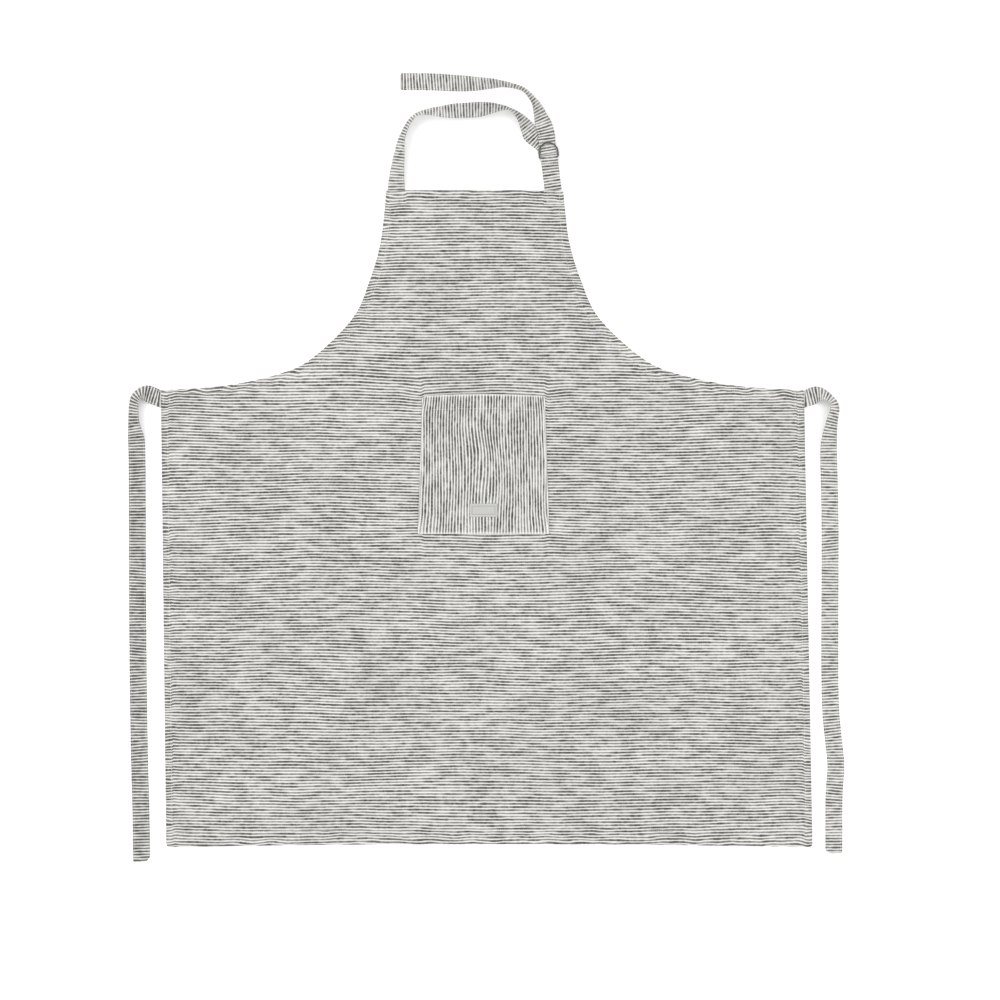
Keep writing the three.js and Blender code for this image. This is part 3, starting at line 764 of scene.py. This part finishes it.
def throughPoints(points, share):
    # centripetal Catmull-Rom, the CAD's own route
    p = np.array(points, float)
    p = np.vstack([2 * p[0] - p[1], p, 2 * p[-1] - p[-2]])
    spans = len(p) - 3
    place = np.clip(np.asarray(share, float) * spans, 0, spans - 1e-9)
    k = place.astype(int)
    t = (place - k)[:, None]
    a, b, c, d = p[k], p[k + 1], p[k + 2], p[k + 3]
    steps = [np.sum((u - v) ** 2, 1) ** 0.25 for u, v in ((a, b), (b, c), (c, d))]
    d1 = np.where(steps[1] < 1e-4, 1.0, steps[1])
    d0 = np.where(steps[0] < 1e-4, d1, steps[0])
    d2 = np.where(steps[2] < 1e-4, d1, steps[2])
    d0, d1, d2 = d0[:, None], d1[:, None], d2[:, None]
    t1 = ((b - a) / d0 - (c - a) / (d0 + d1) + (c - b) / d1) * d1
    t2 = ((c - b) / d1 - (d - b) / (d1 + d2) + (d - c) / d2) * d1
    return b + t1 * t + (-3 * b + 3 * c - 2 * t1 - t2) * t ** 2 + (2 * b - 2 * c + t1 + t2) * t ** 3


def unit(v):
    return v / np.maximum(np.linalg.norm(v, axis=1, keepdims=True), 1e-12)


def bandRoute(stations, origin):
    # stations are (x, y, lift, across, lean, width) in millimetres and degrees; the width can be
    # left out, and the lift is from the table to the band's lower edge
    places = np.array([s[:3] for s in stations], float)
    leans = [(math.radians(s[3]), math.radians(s[4])) for s in stations]
    across = np.array([(math.cos(a) * math.cos(l), math.sin(a) * math.cos(l), math.sin(l))
                       for a, l in leans])
    full = strapWidth / mm
    widths = np.array([s[5] if len(s) > 5 else full for s in stations])
    length = np.linalg.norm(np.diff(places, axis=0), axis=1)
    share = [0.0]
    spans = len(stations) - 1
    for k, span in enumerate(length):
        count = max(4, int(math.ceil(span / strapCut["sample"])))
        share += [(k + (n + 1) / count) / spans for n in range(count)]
    share = np.array(share)
    centre = throughPoints(places, share)
    wide = unit(throughPoints(across, share))
    heading = throughPoints(places, share + 2e-4) - throughPoints(places, share - 2e-4)
    heading = unit(heading - wide * np.sum(heading * wide, 1, keepdims=True))
    up = np.cross(heading, wide)
    width = np.interp(share * spans, np.arange(spans + 1), widths)
    thick = strapThick / mm
    rise = (width * np.abs(wide[:, 2]) + thick * np.abs(up[:, 2])) / 2
    centre[:, 2] = np.maximum(centre[:, 2], 0) + rise
    return {"centre": centre * mm + np.array([*origin, 0]), "wide": wide, "up": up,
            "width": width * mm}


def thinRoute(route, corners=None):
    # even sections, packed closer at a free end, whose two corners are rounded
    run = runAlong(route["centre"])
    total = run[-1]
    marks = list(np.linspace(0, total, int(round(total / strapCut["step"])) + 1))
    if corners:
        r = max(corners)
        marks = [m for m in marks if m < total - r]
        marks += [total - r * c for c in (0, 0.03, 0.08, 0.16, 0.28, 0.42, 0.6, 0.8)]
    marks = np.array(sorted(marks))
    thinned = {key: np.column_stack([np.interp(marks, run, column) for column in
                                     np.atleast_2d(values.T)]) for key, values in route.items()}
    thinned["wide"], thinned["up"] = unit(thinned["wide"]), unit(thinned["up"])
    thinned["width"] = thinned["width"][:, 0]
    thinned["corner"] = np.ones((len(marks), 2))
    for edge, r in enumerate(corners or ()):
        into = np.clip(1 - (total - marks) / r, 0, 1)
        thinned["corner"][:, edge] -= (1 - np.sqrt(1 - into ** 2)) * r / (strapWidth / 2)
    thinned["run"] = marks
    thinned["thin"] = np.ones(len(marks))
    if corners:
        # pressed thinner at its very end
        thinned["thin"] -= 0.35 * smoothStep(0.0012, 0.0, total - marks)
    return thinned


# a band's section: out as a share of half its width, up as a share of its thickness
halfSection = [(0.36, 0.53), (0.72, 0.50), strapCut["groove"], (0.87, 0.50), (0.94, 0.45),
               (0.985, 0.26)]
topSection = [*[(-a, h) for a, h in halfSection[::-1]], (0.0, 0.55), *halfSection]
bandSection = [*topSection, (1.0, 0.0), *[(a, -min(h, 0.5)) for a, h in topSection[::-1]],
               (-1.0, 0.0)]


def bandMesh(name, route, material, seed, uvStart=0.0, waver=1.0):
    points, uvs = [], []
    run, still = route["run"], route["run"] * 0
    wobble = ripple(run, still, 0.012, 1.0, seed)
    edgeWobble = ripple(run, still, 0.006, 1.0, seed + 7)
    skew = ripple(run, still, 0.045, 1.0, seed + 3)
    for k, centre in enumerate(route["centre"]):
        for a, h in bandSection:
            half = (route["width"][k] / 2 * route["corner"][k][int(a > 0)]
                    + 0.00018 * edgeWobble[k] * waver)
            height = h * strapThick * route["thin"][k] + 0.00022 * wobble[k] * (1 - a * a) * waver
            points.append(centre + route["wide"][k] * (a * half) + route["up"][k] * height)
            uvs.append((a * strapWidth / 2,
                        uvStart + run[k] + 0.0016 * skew[k] * a + 0.0006 * wobble[k] * a * a))
    section = len(bandSection)
    last = len(run) - 1
    faces = []
    for first in range(0, last * section, section):
        for n in range(section):
            m = (n + 1) % section
            faces.append((first + n, first + m, first + section + m, first + section + n))
    points = np.array(points)
    points[:, 2] = np.maximum(points[:, 2], 0.0)
    volume = sum(np.dot(points[a], np.cross(points[b], points[c])) +
                 np.dot(points[a], np.cross(points[c], points[d])) for a, b, c, d in faces)
    faces += [tuple(range(section))[::-1], tuple(last * section + n for n in range(section))]
    piece = putMesh(name, points, faces, material, uvs)
    if volume < 0:
        piece.data.flip_normals()
    return piece


def bandStitches(route, start, end, side, face):
    # a line along the band just over the groove, from one distance along it to another
    keep = (route["run"] >= start) & (route["run"] <= route["run"][-1] - end)
    half = (route["width"][keep] / 2 * route["corner"][keep, int(side > 0)])[:, None]
    out, up = strapCut["groove"]
    return (route["centre"][keep] + route["wide"][keep] * half * out * side
            + route["up"][keep] * (strapThick * up + 0.00012) * face)


def crossStitches(route, fromEnd, face):
    k = int(np.argmin(np.abs(route["run"] - route["run"][-1] + fromEnd)))
    half = route["width"][k] / 2 * strapCut["groove"][0]
    return np.array([route["centre"][k]
                     + route["wide"][k] * half * a * route["corner"][k][int(a > 0)]
                     + route["up"][k] * (strapThick * 0.52 + 0.0001) * face
                     for a in np.linspace(-1, 1, 7)])


ringTabX = (ringTab[0].x + ringTab[1].x) / 2 / mm
neckTabX = (neckTab[0].x + neckTab[1].x) / 2 / mm
fullWidth = strapWidth / mm
halfWidth = fullWidth / 2
thick = strapThick / mm
lean = math.radians(ringCut["lean"])
neckRun = ringTabX - math.sin(lean) * ringReach - neckTabX - fullWidth
neckStations = [
    (0, 0.4, 0, 0, 0), (0.003, 16, 0, -4, 25), (0.013, 33, 0, -10, 40), (0.026, 50, 0, -14, 52),
    (0.04, 66, 0, -22, 65), (0.07, 80, 0, -34, 71), (0.106, 91, 0, -46, 74),
    (0.157, 99, 0, -66, 77), (0.254, 102, 0, -86, 60), (0.334, 102, 0, -86, 45),
    (0.424, 103.3, 0, -85, 28), (0.601, 105, 0, -90, 22), (0.688, 106.5, 0, -90, 42),
    (0.784, 107, 0, -98, 68), (0.834, 105.5, 0, -115, 78), (0.887, 99.4, 0, -131, 70),
    (0.926, 92, 0, -136, 55), (0.964, 81.8, 0, -141, 30), (0.995, 72, 0, -142, 8),
]
backBar = thick + gap + ringWire / 2
frontBar = backBar + ringWire + gap
tailLift = backBar + ringWire / 2 + gap
turnTop = frontBar + ringWire / 2
turnNear = ringWire / 2 + 2 * gap + thick * 1.5
turnY = turnNear + turnTop / 2
turnStations = [
    (12 - fullWidth, 22.5, 0, -139, 0), (6.5 - halfWidth, 15, 0, -154, 0, inRings),
    (-1.2, turnY + 4, 0, -169, 0, inRings), (0, turnY, 0, -180, 0, inRings),
    (0, turnNear + turnTop * 0.15, turnTop * 0.15, -180, 0, inRings),
    (0, turnNear, turnTop * 0.5, -180, 0, inRings),
    (0, turnNear + turnTop * 0.15, turnTop * 0.86, -180, 0, inRings),
    (0, turnY, turnTop * 0.96, -180, 0, inRings), (0, turnY + 4.5, tailLift, -180, 0, inRings),
]
tailHinge = 24.5
tailStations = [
    (0, tailHinge, tailLift, 0, 0), (-0.4, 36, 2.4, 4, 0), (-4.4, 54, 0, 10, 40),
    (-7.4, 67.5, 0, 20, 60), (-11, 76, 0, 34, 73), (-19.4, 88.8, 0, 50, 80),
    (-26, 93.8, 0, 62, 81), (-33.8, 97.2, 0, 70, 80), (-42, 100, 0, 74, 76),
    (-49.4, 102, 0, 78, 72), (-58.7, 103.6, 0, 84, 61), (-72, 105.3, 0, 88, 49),
    (-87.5, 107.3, 0, 89, 34), (-103, 110, 0, 88, 21), (-140, 116.8, 0, 86, 5),
    (-180, 122.4, 0, 84, 0),
]


def fromRings(station):
    # a place in the rings' own frame, seen from the foot of the neck strap
    x, y, *rest = station
    y += ringReach
    placeX = x * math.cos(lean) - y * math.sin(lean) + ringTabX - neckTabX
    placeY = x * math.sin(lean) + y * math.cos(lean) + gap
    return (placeX, placeY, rest[0], rest[1] + ringCut["lean"], *rest[2:])


neckOrigin = (neckTabX * mm, bibTop)
neckRoute = bandRoute(
    [(share * neckRun, *rest) for share, *rest in neckStations]
    + [fromRings(s) for s in [*turnStations, (0, tailHinge, tailLift, -180, 0)]], neckOrigin)


def sewnRoute(route, length):
    # starts the route with its straight end under the hem
    first = {key: values[:1] for key, values in route.items()}
    back = np.cross(first["up"][0], first["wide"][0])
    marks = np.linspace(length, 0.0006, 9)
    sewn = {key: np.repeat(values, len(marks), 0) for key, values in first.items()}
    sewn["centre"] = sewn["centre"] + np.outer(marks, back)
    sewn["centre"][:, 2] = strapThick / 2
    return {key: np.concatenate([sewn[key], route[key]]) for key in route}


neckRoute = thinRoute(sewnRoute(neckRoute, 0.0165))
tailRoute = thinRoute(bandRoute([fromRings(s) for s in tailStations], neckOrigin), (0.002, 0.004))
# the free end starts just inside the end of the neck strap, and a little smaller
tuck = strapCut["tuck"]
tailRoute["centre"][0] -= np.array([-math.sin(lean), math.cos(lean), 0]) * tuck
tailRoute["run"][0] -= tuck
tailRoute["thin"][0] = 0.8
tailRoute["corner"][0] = 0.99
seamY = waistY - gap * mm - strapWidth / 2
leftStations = [
    (0, 0, 0, -90, 0), (-7, 3.2, 0, -108, 0), (-16, 7, 0, -107, 10), (-22, 8.6, 0, -93, 35),
    (-28, 7.2, 0, -62, 53), (-33, 2, 0, -33, 55), (-34.8, -5, 0, -12, 53),
    (-35.2, -15, 0, -2, 51), (-35, -28, 0, 4, 47), (-33.8, -39, 0, 7, 35),
    (-32.2, -50, 0, 5, 12), (-31.4, -67, 0, 2, 0), (-30.8, -158, 0, 0, 0),
    (-30.3, -288, 0, 0, 0), (-29.3, -392, 0, 1, 0), (-27.9, -470, 0, 1, 0),
    (-26.3, -530, 0, 1, 0), (-25.2, -601, 0, 1, 0),
]
rightStations = [
    (0, 0, 0, 90, 0), (6.5, 2.6, 0, 108, 0), (13.7, 5.5, 0, 106, -8), (20.2, 6.6, 0, 92, -28),
    (26.5, 5.6, 0, 66, -54), (33.4, 1, 0, 45, -63), (38.5, -5, 0, 15, -60),
    (39.4, -13, 0, -8, -54), (37.6, -22, 0, -14, -50), (35.6, -30, 0, -12, -44),
    (33.4, -44, 0, -8, -30), (31.8, -62, 0, -2, -12), (32.6, -107, 0, 1, 0),
    (33.6, -159, 0, 0, 0), (33.6, -372, 0, 1, 0), (35, -412, 0, 4, 0), (38.6, -447, 0, 4, 0),
    (41.2, -477, 0, 0, 0), (39, -512, 0, -2, 0), (38.6, -590, 0, 1, 0),
]
leftFoot = (waistX + sideAt(-1, 0) - gap * mm, seamY)
rightFoot = (waistX + sideAt(1, -strapWidth) + gap * mm, seamY)
leftRoute = thinRoute(sewnRoute(bandRoute(leftStations, leftFoot), 0.0135), (0.0016, 0.0085))
rightRoute = thinRoute(sewnRoute(bandRoute(rightStations, rightFoot), 0.0135), (0.0075, 0.0016))

# where each one bends as it folds
upStrap = Vector((-math.sin(lean), math.cos(lean), 0))
hingeAt = Vector(tailRoute["centre"][0])
bends = {
    "neck": ("apron", "neck_loop", (0, bibTop, 0), (0, bibTop + 0.008, 0)),
    "tail": ("neck_loop", "strap_tail", tuple(hingeAt + upStrap * 0.0005),
             tuple(hingeAt + upStrap * 0.014)),
    "left": ("apron", "left_tie", (leftFoot[0], 0, 0), (leftFoot[0] - 0.008, 0, 0)),
    "right": ("apron", "right_tie", (rightFoot[0], 0, 0), (rightFoot[0] + 0.008, 0, 0)),
}


def bendWith(piece):
    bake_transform(piece)


def makeStrap(name, route, material, seed, nodes, uvStart=0.0):
    piece = bandMesh(name, route, material, seed, uvStart)
    bendWith(piece)
    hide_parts(*nodes)


makeStrap("neck_strap_band", neckRoute, strapCloth, 5.0, ("neck_strap", "neck_strap_tab"))
makeStrap("neck_strap_free_end", tailRoute, strapCloth, 6.0, ("neck_strap_tail",),
          neckRoute["run"][-1])
makeStrap("left_waist_tie", leftRoute, leftTieCloth, 7.0, ("left_tie", "left_tie_tab"),
          2.0)
makeStrap("right_waist_tie", rightRoute, strapCloth, 8.0,
          ("right_tie", "right_tie_tab"), 4.0)
print("straps and ties made")


# ring strap and rings

ringFoot = Vector((ringTabX * mm, bibTop + gap * mm, 0))
ringX = Vector((math.cos(lean), math.sin(lean), 0))


def placeInRings(x, y, z):
    return ringFoot + ringX * (x * mm) + upStrap * (y * mm) + Vector((0, 0, z * mm))


def ringStrapLine(sewn=17, flare=12.0):
    # side view: up the lower layer, round both bars, down the upper layer
    turn = ringWire / 2 + gap + thick / 2
    line = [(y, thick / 2) for y in np.linspace(-sewn, ringReach, 34)]
    line += [(ringReach + turn * math.sin(a), backBar - turn * math.cos(a))
             for a in np.linspace(0.1, math.pi / 2, 8)]
    line += [(ringReach + turn * math.cos(a), frontBar + turn * math.sin(a))
             for a in np.linspace(0.1, math.pi / 2, 8)]
    high, low = frontBar + turn, thick * 1.5
    for share in np.linspace(0.08, 1, 12):
        ease = share * share * (3 - 2 * share)
        line.append((ringReach - flare * share, high + (low - high) * ease))
    return np.array(line + [(y, low) for y in np.linspace(ringReach - flare - 2, -sewn, 26)])


line = ringStrapLine()
count = len(line)
centre = np.array([tuple(placeInRings(0, y, z)) for y, z in line])
heading = unit(np.gradient(line, axis=0))
forward = np.outer(heading[:, 0], upStrap) + np.outer(heading[:, 1], (0, 0, 1))
wide = np.tile(np.array(ringX), (count, 1))
ringStrapRoute = {"centre": centre, "wide": wide, "up": np.cross(forward, wide),
                  "width": np.full(count, strapWidth), "corner": np.ones((count, 2)),
                  "thin": np.ones(count), "run": runAlong(centre)}
# its foot stays square to the bib's edge
centre[centre[:, 1] < bibTop, 0] = ringTabX * mm
ringStrap = bandMesh("ring_strap_loop", ringStrapRoute, strapCloth, 11.0, uvStart=6.0, waver=0.4)
bendWith(ringStrap)
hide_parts("ring_strap", "ring_strap_tab")

barHalf = halfWidth + gap + ringWire / 2
bowStart = ringCut["height"] - barHalf


def dLine(count):
    # straight bar along X at the origin, round bow towards +Y, evenly spaced
    r = ringCut["corner"]
    points = [(x, 0) for x in np.linspace(0, barHalf - r, 12)]
    points += [(barHalf - r + r * math.sin(a), r - r * math.cos(a))
               for a in np.linspace(0, math.pi / 2, 10)[1:]]
    points += [(barHalf, y) for y in np.linspace(r, bowStart, 8)[1:]]
    points += [(barHalf * math.cos(a), bowStart + barHalf * math.sin(a))
               for a in np.linspace(0, math.pi / 2, 24)[1:]]
    points = np.array(points)
    points = np.vstack([points, (points * (-1, 1))[::-1][1:]])
    run = runAlong(points)
    marks = np.linspace(0, run[-1], count, endpoint=False)
    return np.column_stack([np.interp(marks, run, column) for column in points.T])


def ringMesh(name, barHeight, tilt):
    count, sides, r = ringCut["sections"], ringCut["sides"], ringWire / 2
    line = dLine(count)
    points, faces = [], []
    heading = unit(np.roll(line, -1, axis=0) - np.roll(line, 1, axis=0))
    for (x, y), (hx, hy) in zip(line, heading):
        for n in range(sides):
            a = 2 * math.pi * n / sides
            out, rise = r * math.cos(a), r * math.sin(a)
            high = y - hx * out
            points.append(tuple(placeInRings(
                x + hy * out, ringReach + high * math.cos(tilt) - rise * math.sin(tilt),
                barHeight + high * math.sin(tilt) + rise * math.cos(tilt))))
    for k in range(count):
        near, far = k * sides, (k + 1) % count * sides
        for n in range(sides):
            m = (n + 1) % sides
            faces.append((near + n, far + n, far + m, near + m))
    return putMesh(name, points, faces, ringSteel)


# the front ring lies over the free end of the strap, so it leans up from its bar
overStrap = tailLift + thick + gap + ringWire / 2 - frontBar
bowNarrows = bowStart + math.sqrt((halfWidth + gap) ** 2 - (inRings / 2 + gap) ** 2)
frontTilt = math.asin(overStrap / bowNarrows)
for name, barHeight, tilt, body, node in (
        ("back_d_ring", backBar, 0.0, "neck_loop", "back_ring"),
        ("front_d_ring", frontBar, frontTilt, "front_ring", "front_ring")):
    ring = ringMesh(name, barHeight, tilt)
    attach(ring, body)
    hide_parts(node)
print("rings made, front one tilted", round(math.degrees(frontTilt), 2))


# stitches: beads of thread set along a line by Geometry Nodes

def stitchTree():
    tree = bpy.data.node_groups.new("stitch row", "GeometryNodeTree")
    for label, kind in (("Geometry", "Geometry"), ("Pitch", "Float"), ("Length", "Float"),
                        ("Radius", "Float"), ("Seed", "Int"), ("Thread", "Material")):
        tree.interface.new_socket(label, in_out="INPUT", socket_type="NodeSocket" + kind)
    tree.interface.new_socket("Geometry", in_out="OUTPUT", socket_type="NodeSocketGeometry")
    nodes = {name: tree.nodes.new(kind) for name, kind in (
        ("given", "NodeGroupInput"), ("curve", "GeometryNodeMeshToCurve"),
        ("spots", "GeometryNodeCurveToPoints"), ("bead", "GeometryNodeMeshUVSphere"),
        ("half", "ShaderNodeMath"), ("size", "ShaderNodeCombineXYZ"),
        ("shape", "GeometryNodeTransform"), ("jitter", "FunctionNodeRandomValue"),
        ("place", "GeometryNodeInstanceOnPoints"), ("smooth", "GeometryNodeSetShadeSmooth"),
        ("real", "GeometryNodeRealizeInstances"), ("paint", "GeometryNodeSetMaterial"),
        ("result", "NodeGroupOutput"))}
    nodes["spots"].mode = "LENGTH"
    nodes["half"].operation = "MULTIPLY"
    nodes["jitter"].data_type = "FLOAT"
    for name, socket, value in (("bead", "Segments", 6), ("bead", "Rings", 5),
                                ("bead", "Radius", 1.0), ("half", 1, 0.5),
                                ("jitter", 2, 0.88), ("jitter", 3, 1.08)):
        nodes[name].inputs[socket].default_value = value
    for source, output, target, socket in (
            ("given", "Geometry", "curve", "Mesh"), ("curve", "Curve", "spots", "Curve"),
            ("given", "Pitch", "spots", "Length"), ("given", "Radius", "size", 0),
            ("given", "Radius", "size", 1), ("given", "Length", "half", 0),
            ("half", 0, "size", 2), ("bead", "Mesh", "shape", "Geometry"),
            ("size", 0, "shape", "Scale"), ("spots", "Points", "place", "Points"),
            ("shape", "Geometry", "place", "Instance"), ("spots", "Rotation", "place", "Rotation"),
            ("given", "Seed", "jitter", "Seed"), ("jitter", 1, "place", "Scale"),
            ("place", "Instances", "smooth", "Geometry"),
            ("smooth", "Geometry", "real", "Geometry"), ("real", "Geometry", "paint", "Geometry"),
            ("given", "Thread", "paint", "Material"), ("paint", "Geometry", "result", "Geometry")):
        tree.links.new(nodes[source].outputs[output], nodes[target].inputs[socket])
    return tree


stitchNodes = stitchTree()
threadLook = {"Pitch": 0.0027, "Length": 0.0023, "Radius": 0.00026}
topstitchLook = {**threadLook, "Radius": 0.00022}
labelThreadLook = {"Pitch": 0.0019, "Length": 0.0015, "Radius": 0.0002}


def stitchRow(name, runs, seed, look=threadLook):
    points, edges = [], []
    for run in runs:
        start = len(points)
        points += [tuple(p) for p in run]
        edges += [(k, k + 1) for k in range(start, len(points) - 1)]
    mesh = bpy.data.meshes.new(name)
    mesh.from_pydata(points, edges, [])
    row = bpy.data.objects.new(name, mesh)
    scene.collection.objects.link(row)
    modifier = row.modifiers.new("stitches", "NODES")
    modifier.node_group = stitchNodes
    sockets = {item.name: item.identifier for item in stitchNodes.interface.items_tree
               if item.item_type == "SOCKET" and item.in_out == "INPUT"}
    for label, value in {**look, "Seed": seed, "Thread": sewingThread}.items():
        modifier[sockets[label]] = value
    bpy.context.view_layer.update()
    evaluated = row.evaluated_get(bpy.context.evaluated_depsgraph_get())
    beads = bpy.data.meshes.new_from_object(evaluated)
    row.modifiers.clear()
    row.data = beads
    return row


def laidOn(heights, origin, points, lift=0.00008):
    # a line of stitches on top of the panel or the pocket
    points = evenly(points, 0.0025)
    top = heights(points[:, 0], points[:, 1])[1]
    return [np.column_stack([points + np.array(origin), top + lift])]


def onPanel(points):
    return laidOn(panelHeights, (waistX, waistY), points)


def onPocket(points, **above):
    return laidOn(pocketHeights, (waistX + pocketX, waistY), points, **above)


def boxLine(x0, x1, y0, y1):
    return [(x0, y0), (x1, y0), (x1, y1), (x0, y1), (x0, y0)]


seamInset = inset(-cut["stitchInset"])
hemBottom = -cut["skirtLength"] + seamInset["bottom"]
hemLeft = sideAt(-1, hemBottom) + seamInset["side"]
hemRight = sideAt(1, hemBottom) - seamInset["side"]
bibSeam = cut["bibHeight"] - seamInset["bib"]
tabStop = cut["padMargin"] + 0.0015      # rows stop short of the straps' sewn ends
tabStitch = 0.003                             # seams run this far in from a sewn end's edge
rows = []
for word, side, tab in (("left", -1, tabs[2]), ("right", 1, tabs[3])):
    tabEnd = tab["x"][1] if side < 0 else tab["x"][0]
    curve = [p for p in armholeLine(side, seamInset)
             if side * (tabEnd - side * tabStop - p[0]) > 0
             and p[1] < cut["bibHeight"] - 0.022]
    rows.append((f"{word}_armhole_stitches", onPanel(curve), f"{word}_armhole_thread"))
    seam = [(sideAt(side, y) - side * seamInset["side"], y)
            for y in np.linspace(tab["y"][0] - tabStop, hemBottom + 0.003, 24)]
    rows.append((f"{word}_hem_stitches", onPanel(seam), f"{word}_hem_thread"))
rows.append(("bib_hem_stitches", onPanel([(tabs[0]["x"][1] + tabStop, bibSeam),
                                          (tabs[1]["x"][0] - tabStop, bibSeam)]),
             "bib_hem_thread"))
bottomRun = [(x, bottomAt(x, hemBottom, hemLeft, hemRight))
             for x in np.linspace(hemLeft, hemRight, 60)]
rows.append(("bottom_hem_stitches", onPanel(bottomRun), "bottom_hem_thread"))
for tab, word in zip(tabs, ("neck_strap", "ring_strap", "left_tie", "right_tie")):
    seam = boxLine(tab["x"][0] + tabStitch, tab["x"][1] - tabStitch,
                   tab["y"][0] + tabStitch, tab["y"][1] - tabStitch)
    rows.append((f"{word}_seam_stitches", onPanel(seam), f"{word}_thread"))
c = pocketCut
topHalf, floorHalf = c["topWidth"] / 2 - c["stitch"], c["bottomWidth"] / 2 - c["stitch"]
edgeTop, edgeFloor = pocketTopY - c["bow"] - 0.002, pocketFloorY + c["stitch"]
rows.append(("pocket_edge_stitches", onPocket([(-topHalf, edgeTop), (-floorHalf, edgeFloor),
                                               (floorHalf, edgeFloor), (topHalf, edgeTop)]),
             "pocket_edge_thread"))
mouthX, mouthY = c["topWidth"] / 2 - 0.006, pocketTopY - c["mouthHem"] + cut["stitchInset"]
mouthRun = [(x, mouthY - c["bow"] * (x / mouthX) ** 2) for x in np.linspace(-mouthX, mouthX, 30)]
rows.append(("pocket_mouth_stitches", onPocket(mouthRun), "pocket_mouth_thread"))
for n, (name, runs, node) in enumerate(rows):
    row = stitchRow(name, runs, 100 + n)
    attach(row, "apron")
    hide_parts(node)

lx, ly = (size / 2 - labelLook["stitch"] for size in labelSize)
labelRun = onPocket(boxLine(labelX - lx, labelX + lx, labelY - ly, labelY + ly),
                    lift=labelLook["thick"] + 0.0001)
row = stitchRow("label_stitches", labelRun, 140, labelThreadLook)
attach(row, "apron")
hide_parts("pocket_label_thread")

# topstitching along both edges of every strap, on both faces, and across each free end
for name, route, bend, start, end in (
        ("neck_strap_topstitch", neckRoute, "neck", 0.018, 0.030),
        ("free_end_topstitch", tailRoute, "tail", 0.004, 0.004),
        ("left_tie_topstitch", leftRoute, "left", 0.016, 0.004),
        ("right_tie_topstitch", rightRoute, "right", 0.016, 0.004)):
    runs = [bandStitches(route, start, end, side, face) for side in (-1, 1) for face in (-1, 1)]
    if route is not neckRoute:
        runs += [crossStitches(route, end, face) for face in (-1, 1)]
    bendWith(stitchRow(name, runs, 160 + len(name), topstitchLook))
ringSeam = crossStitches(ringStrapRoute, 0.0525, 1)
bendWith(stitchRow("ring_strap_seam", [ringSeam], 199))
print("stitches sewn")


# floor and light

studio = {
    "floorSize": 8.0, "floorDrop": 0.0004, "floor": (1.0, 1.0, 1.0, 1), "world": 1.24,
    # name, place, size, power
    "lights": (("key light", (-1.6, 1.3, 2.4), 1.4, 17.0),
               ("fill light", (1.9, -1.4, 2.2), 1.8, 12.0)),
}
s, z = studio["floorSize"], -studio["floorDrop"]
floorPaint, tree, shader = newMaterial("floor paint")
mottle = cloud(tree, objectPlace(tree), scale=6.0)
wire(tree, shader, {"Base Color": studio["floor"],
                    "Roughness": ramp(tree, mottle, 0.2, 0.8, 0.75, 0.85)})
floor = putMesh("floor", [(-s, -s, z), (s, -s, z), (s, s, z), (-s, s, z)], [(0, 1, 2, 3)],
                floorPaint)

world = bpy.data.worlds.new("studio")
world.use_nodes = True
world.node_tree.nodes["Background"].inputs["Color"].default_value = (1, 1, 1, 1)
world.node_tree.nodes["Background"].inputs["Strength"].default_value = studio["world"]
scene.world = world
for name, place, size, power in studio["lights"]:
    lamp = bpy.data.lights.new(name, "AREA")
    lamp.size = size
    lamp.energy = power
    holder = bpy.data.objects.new(name, lamp)
    holder.location = place
    holder.rotation_mode = "QUATERNION"
    holder.rotation_quaternion = (-Vector(place)).to_track_quat("-Z", "Y")
    scene.collection.objects.link(holder)
scene.view_settings.view_transform = "Standard"

print("ready")
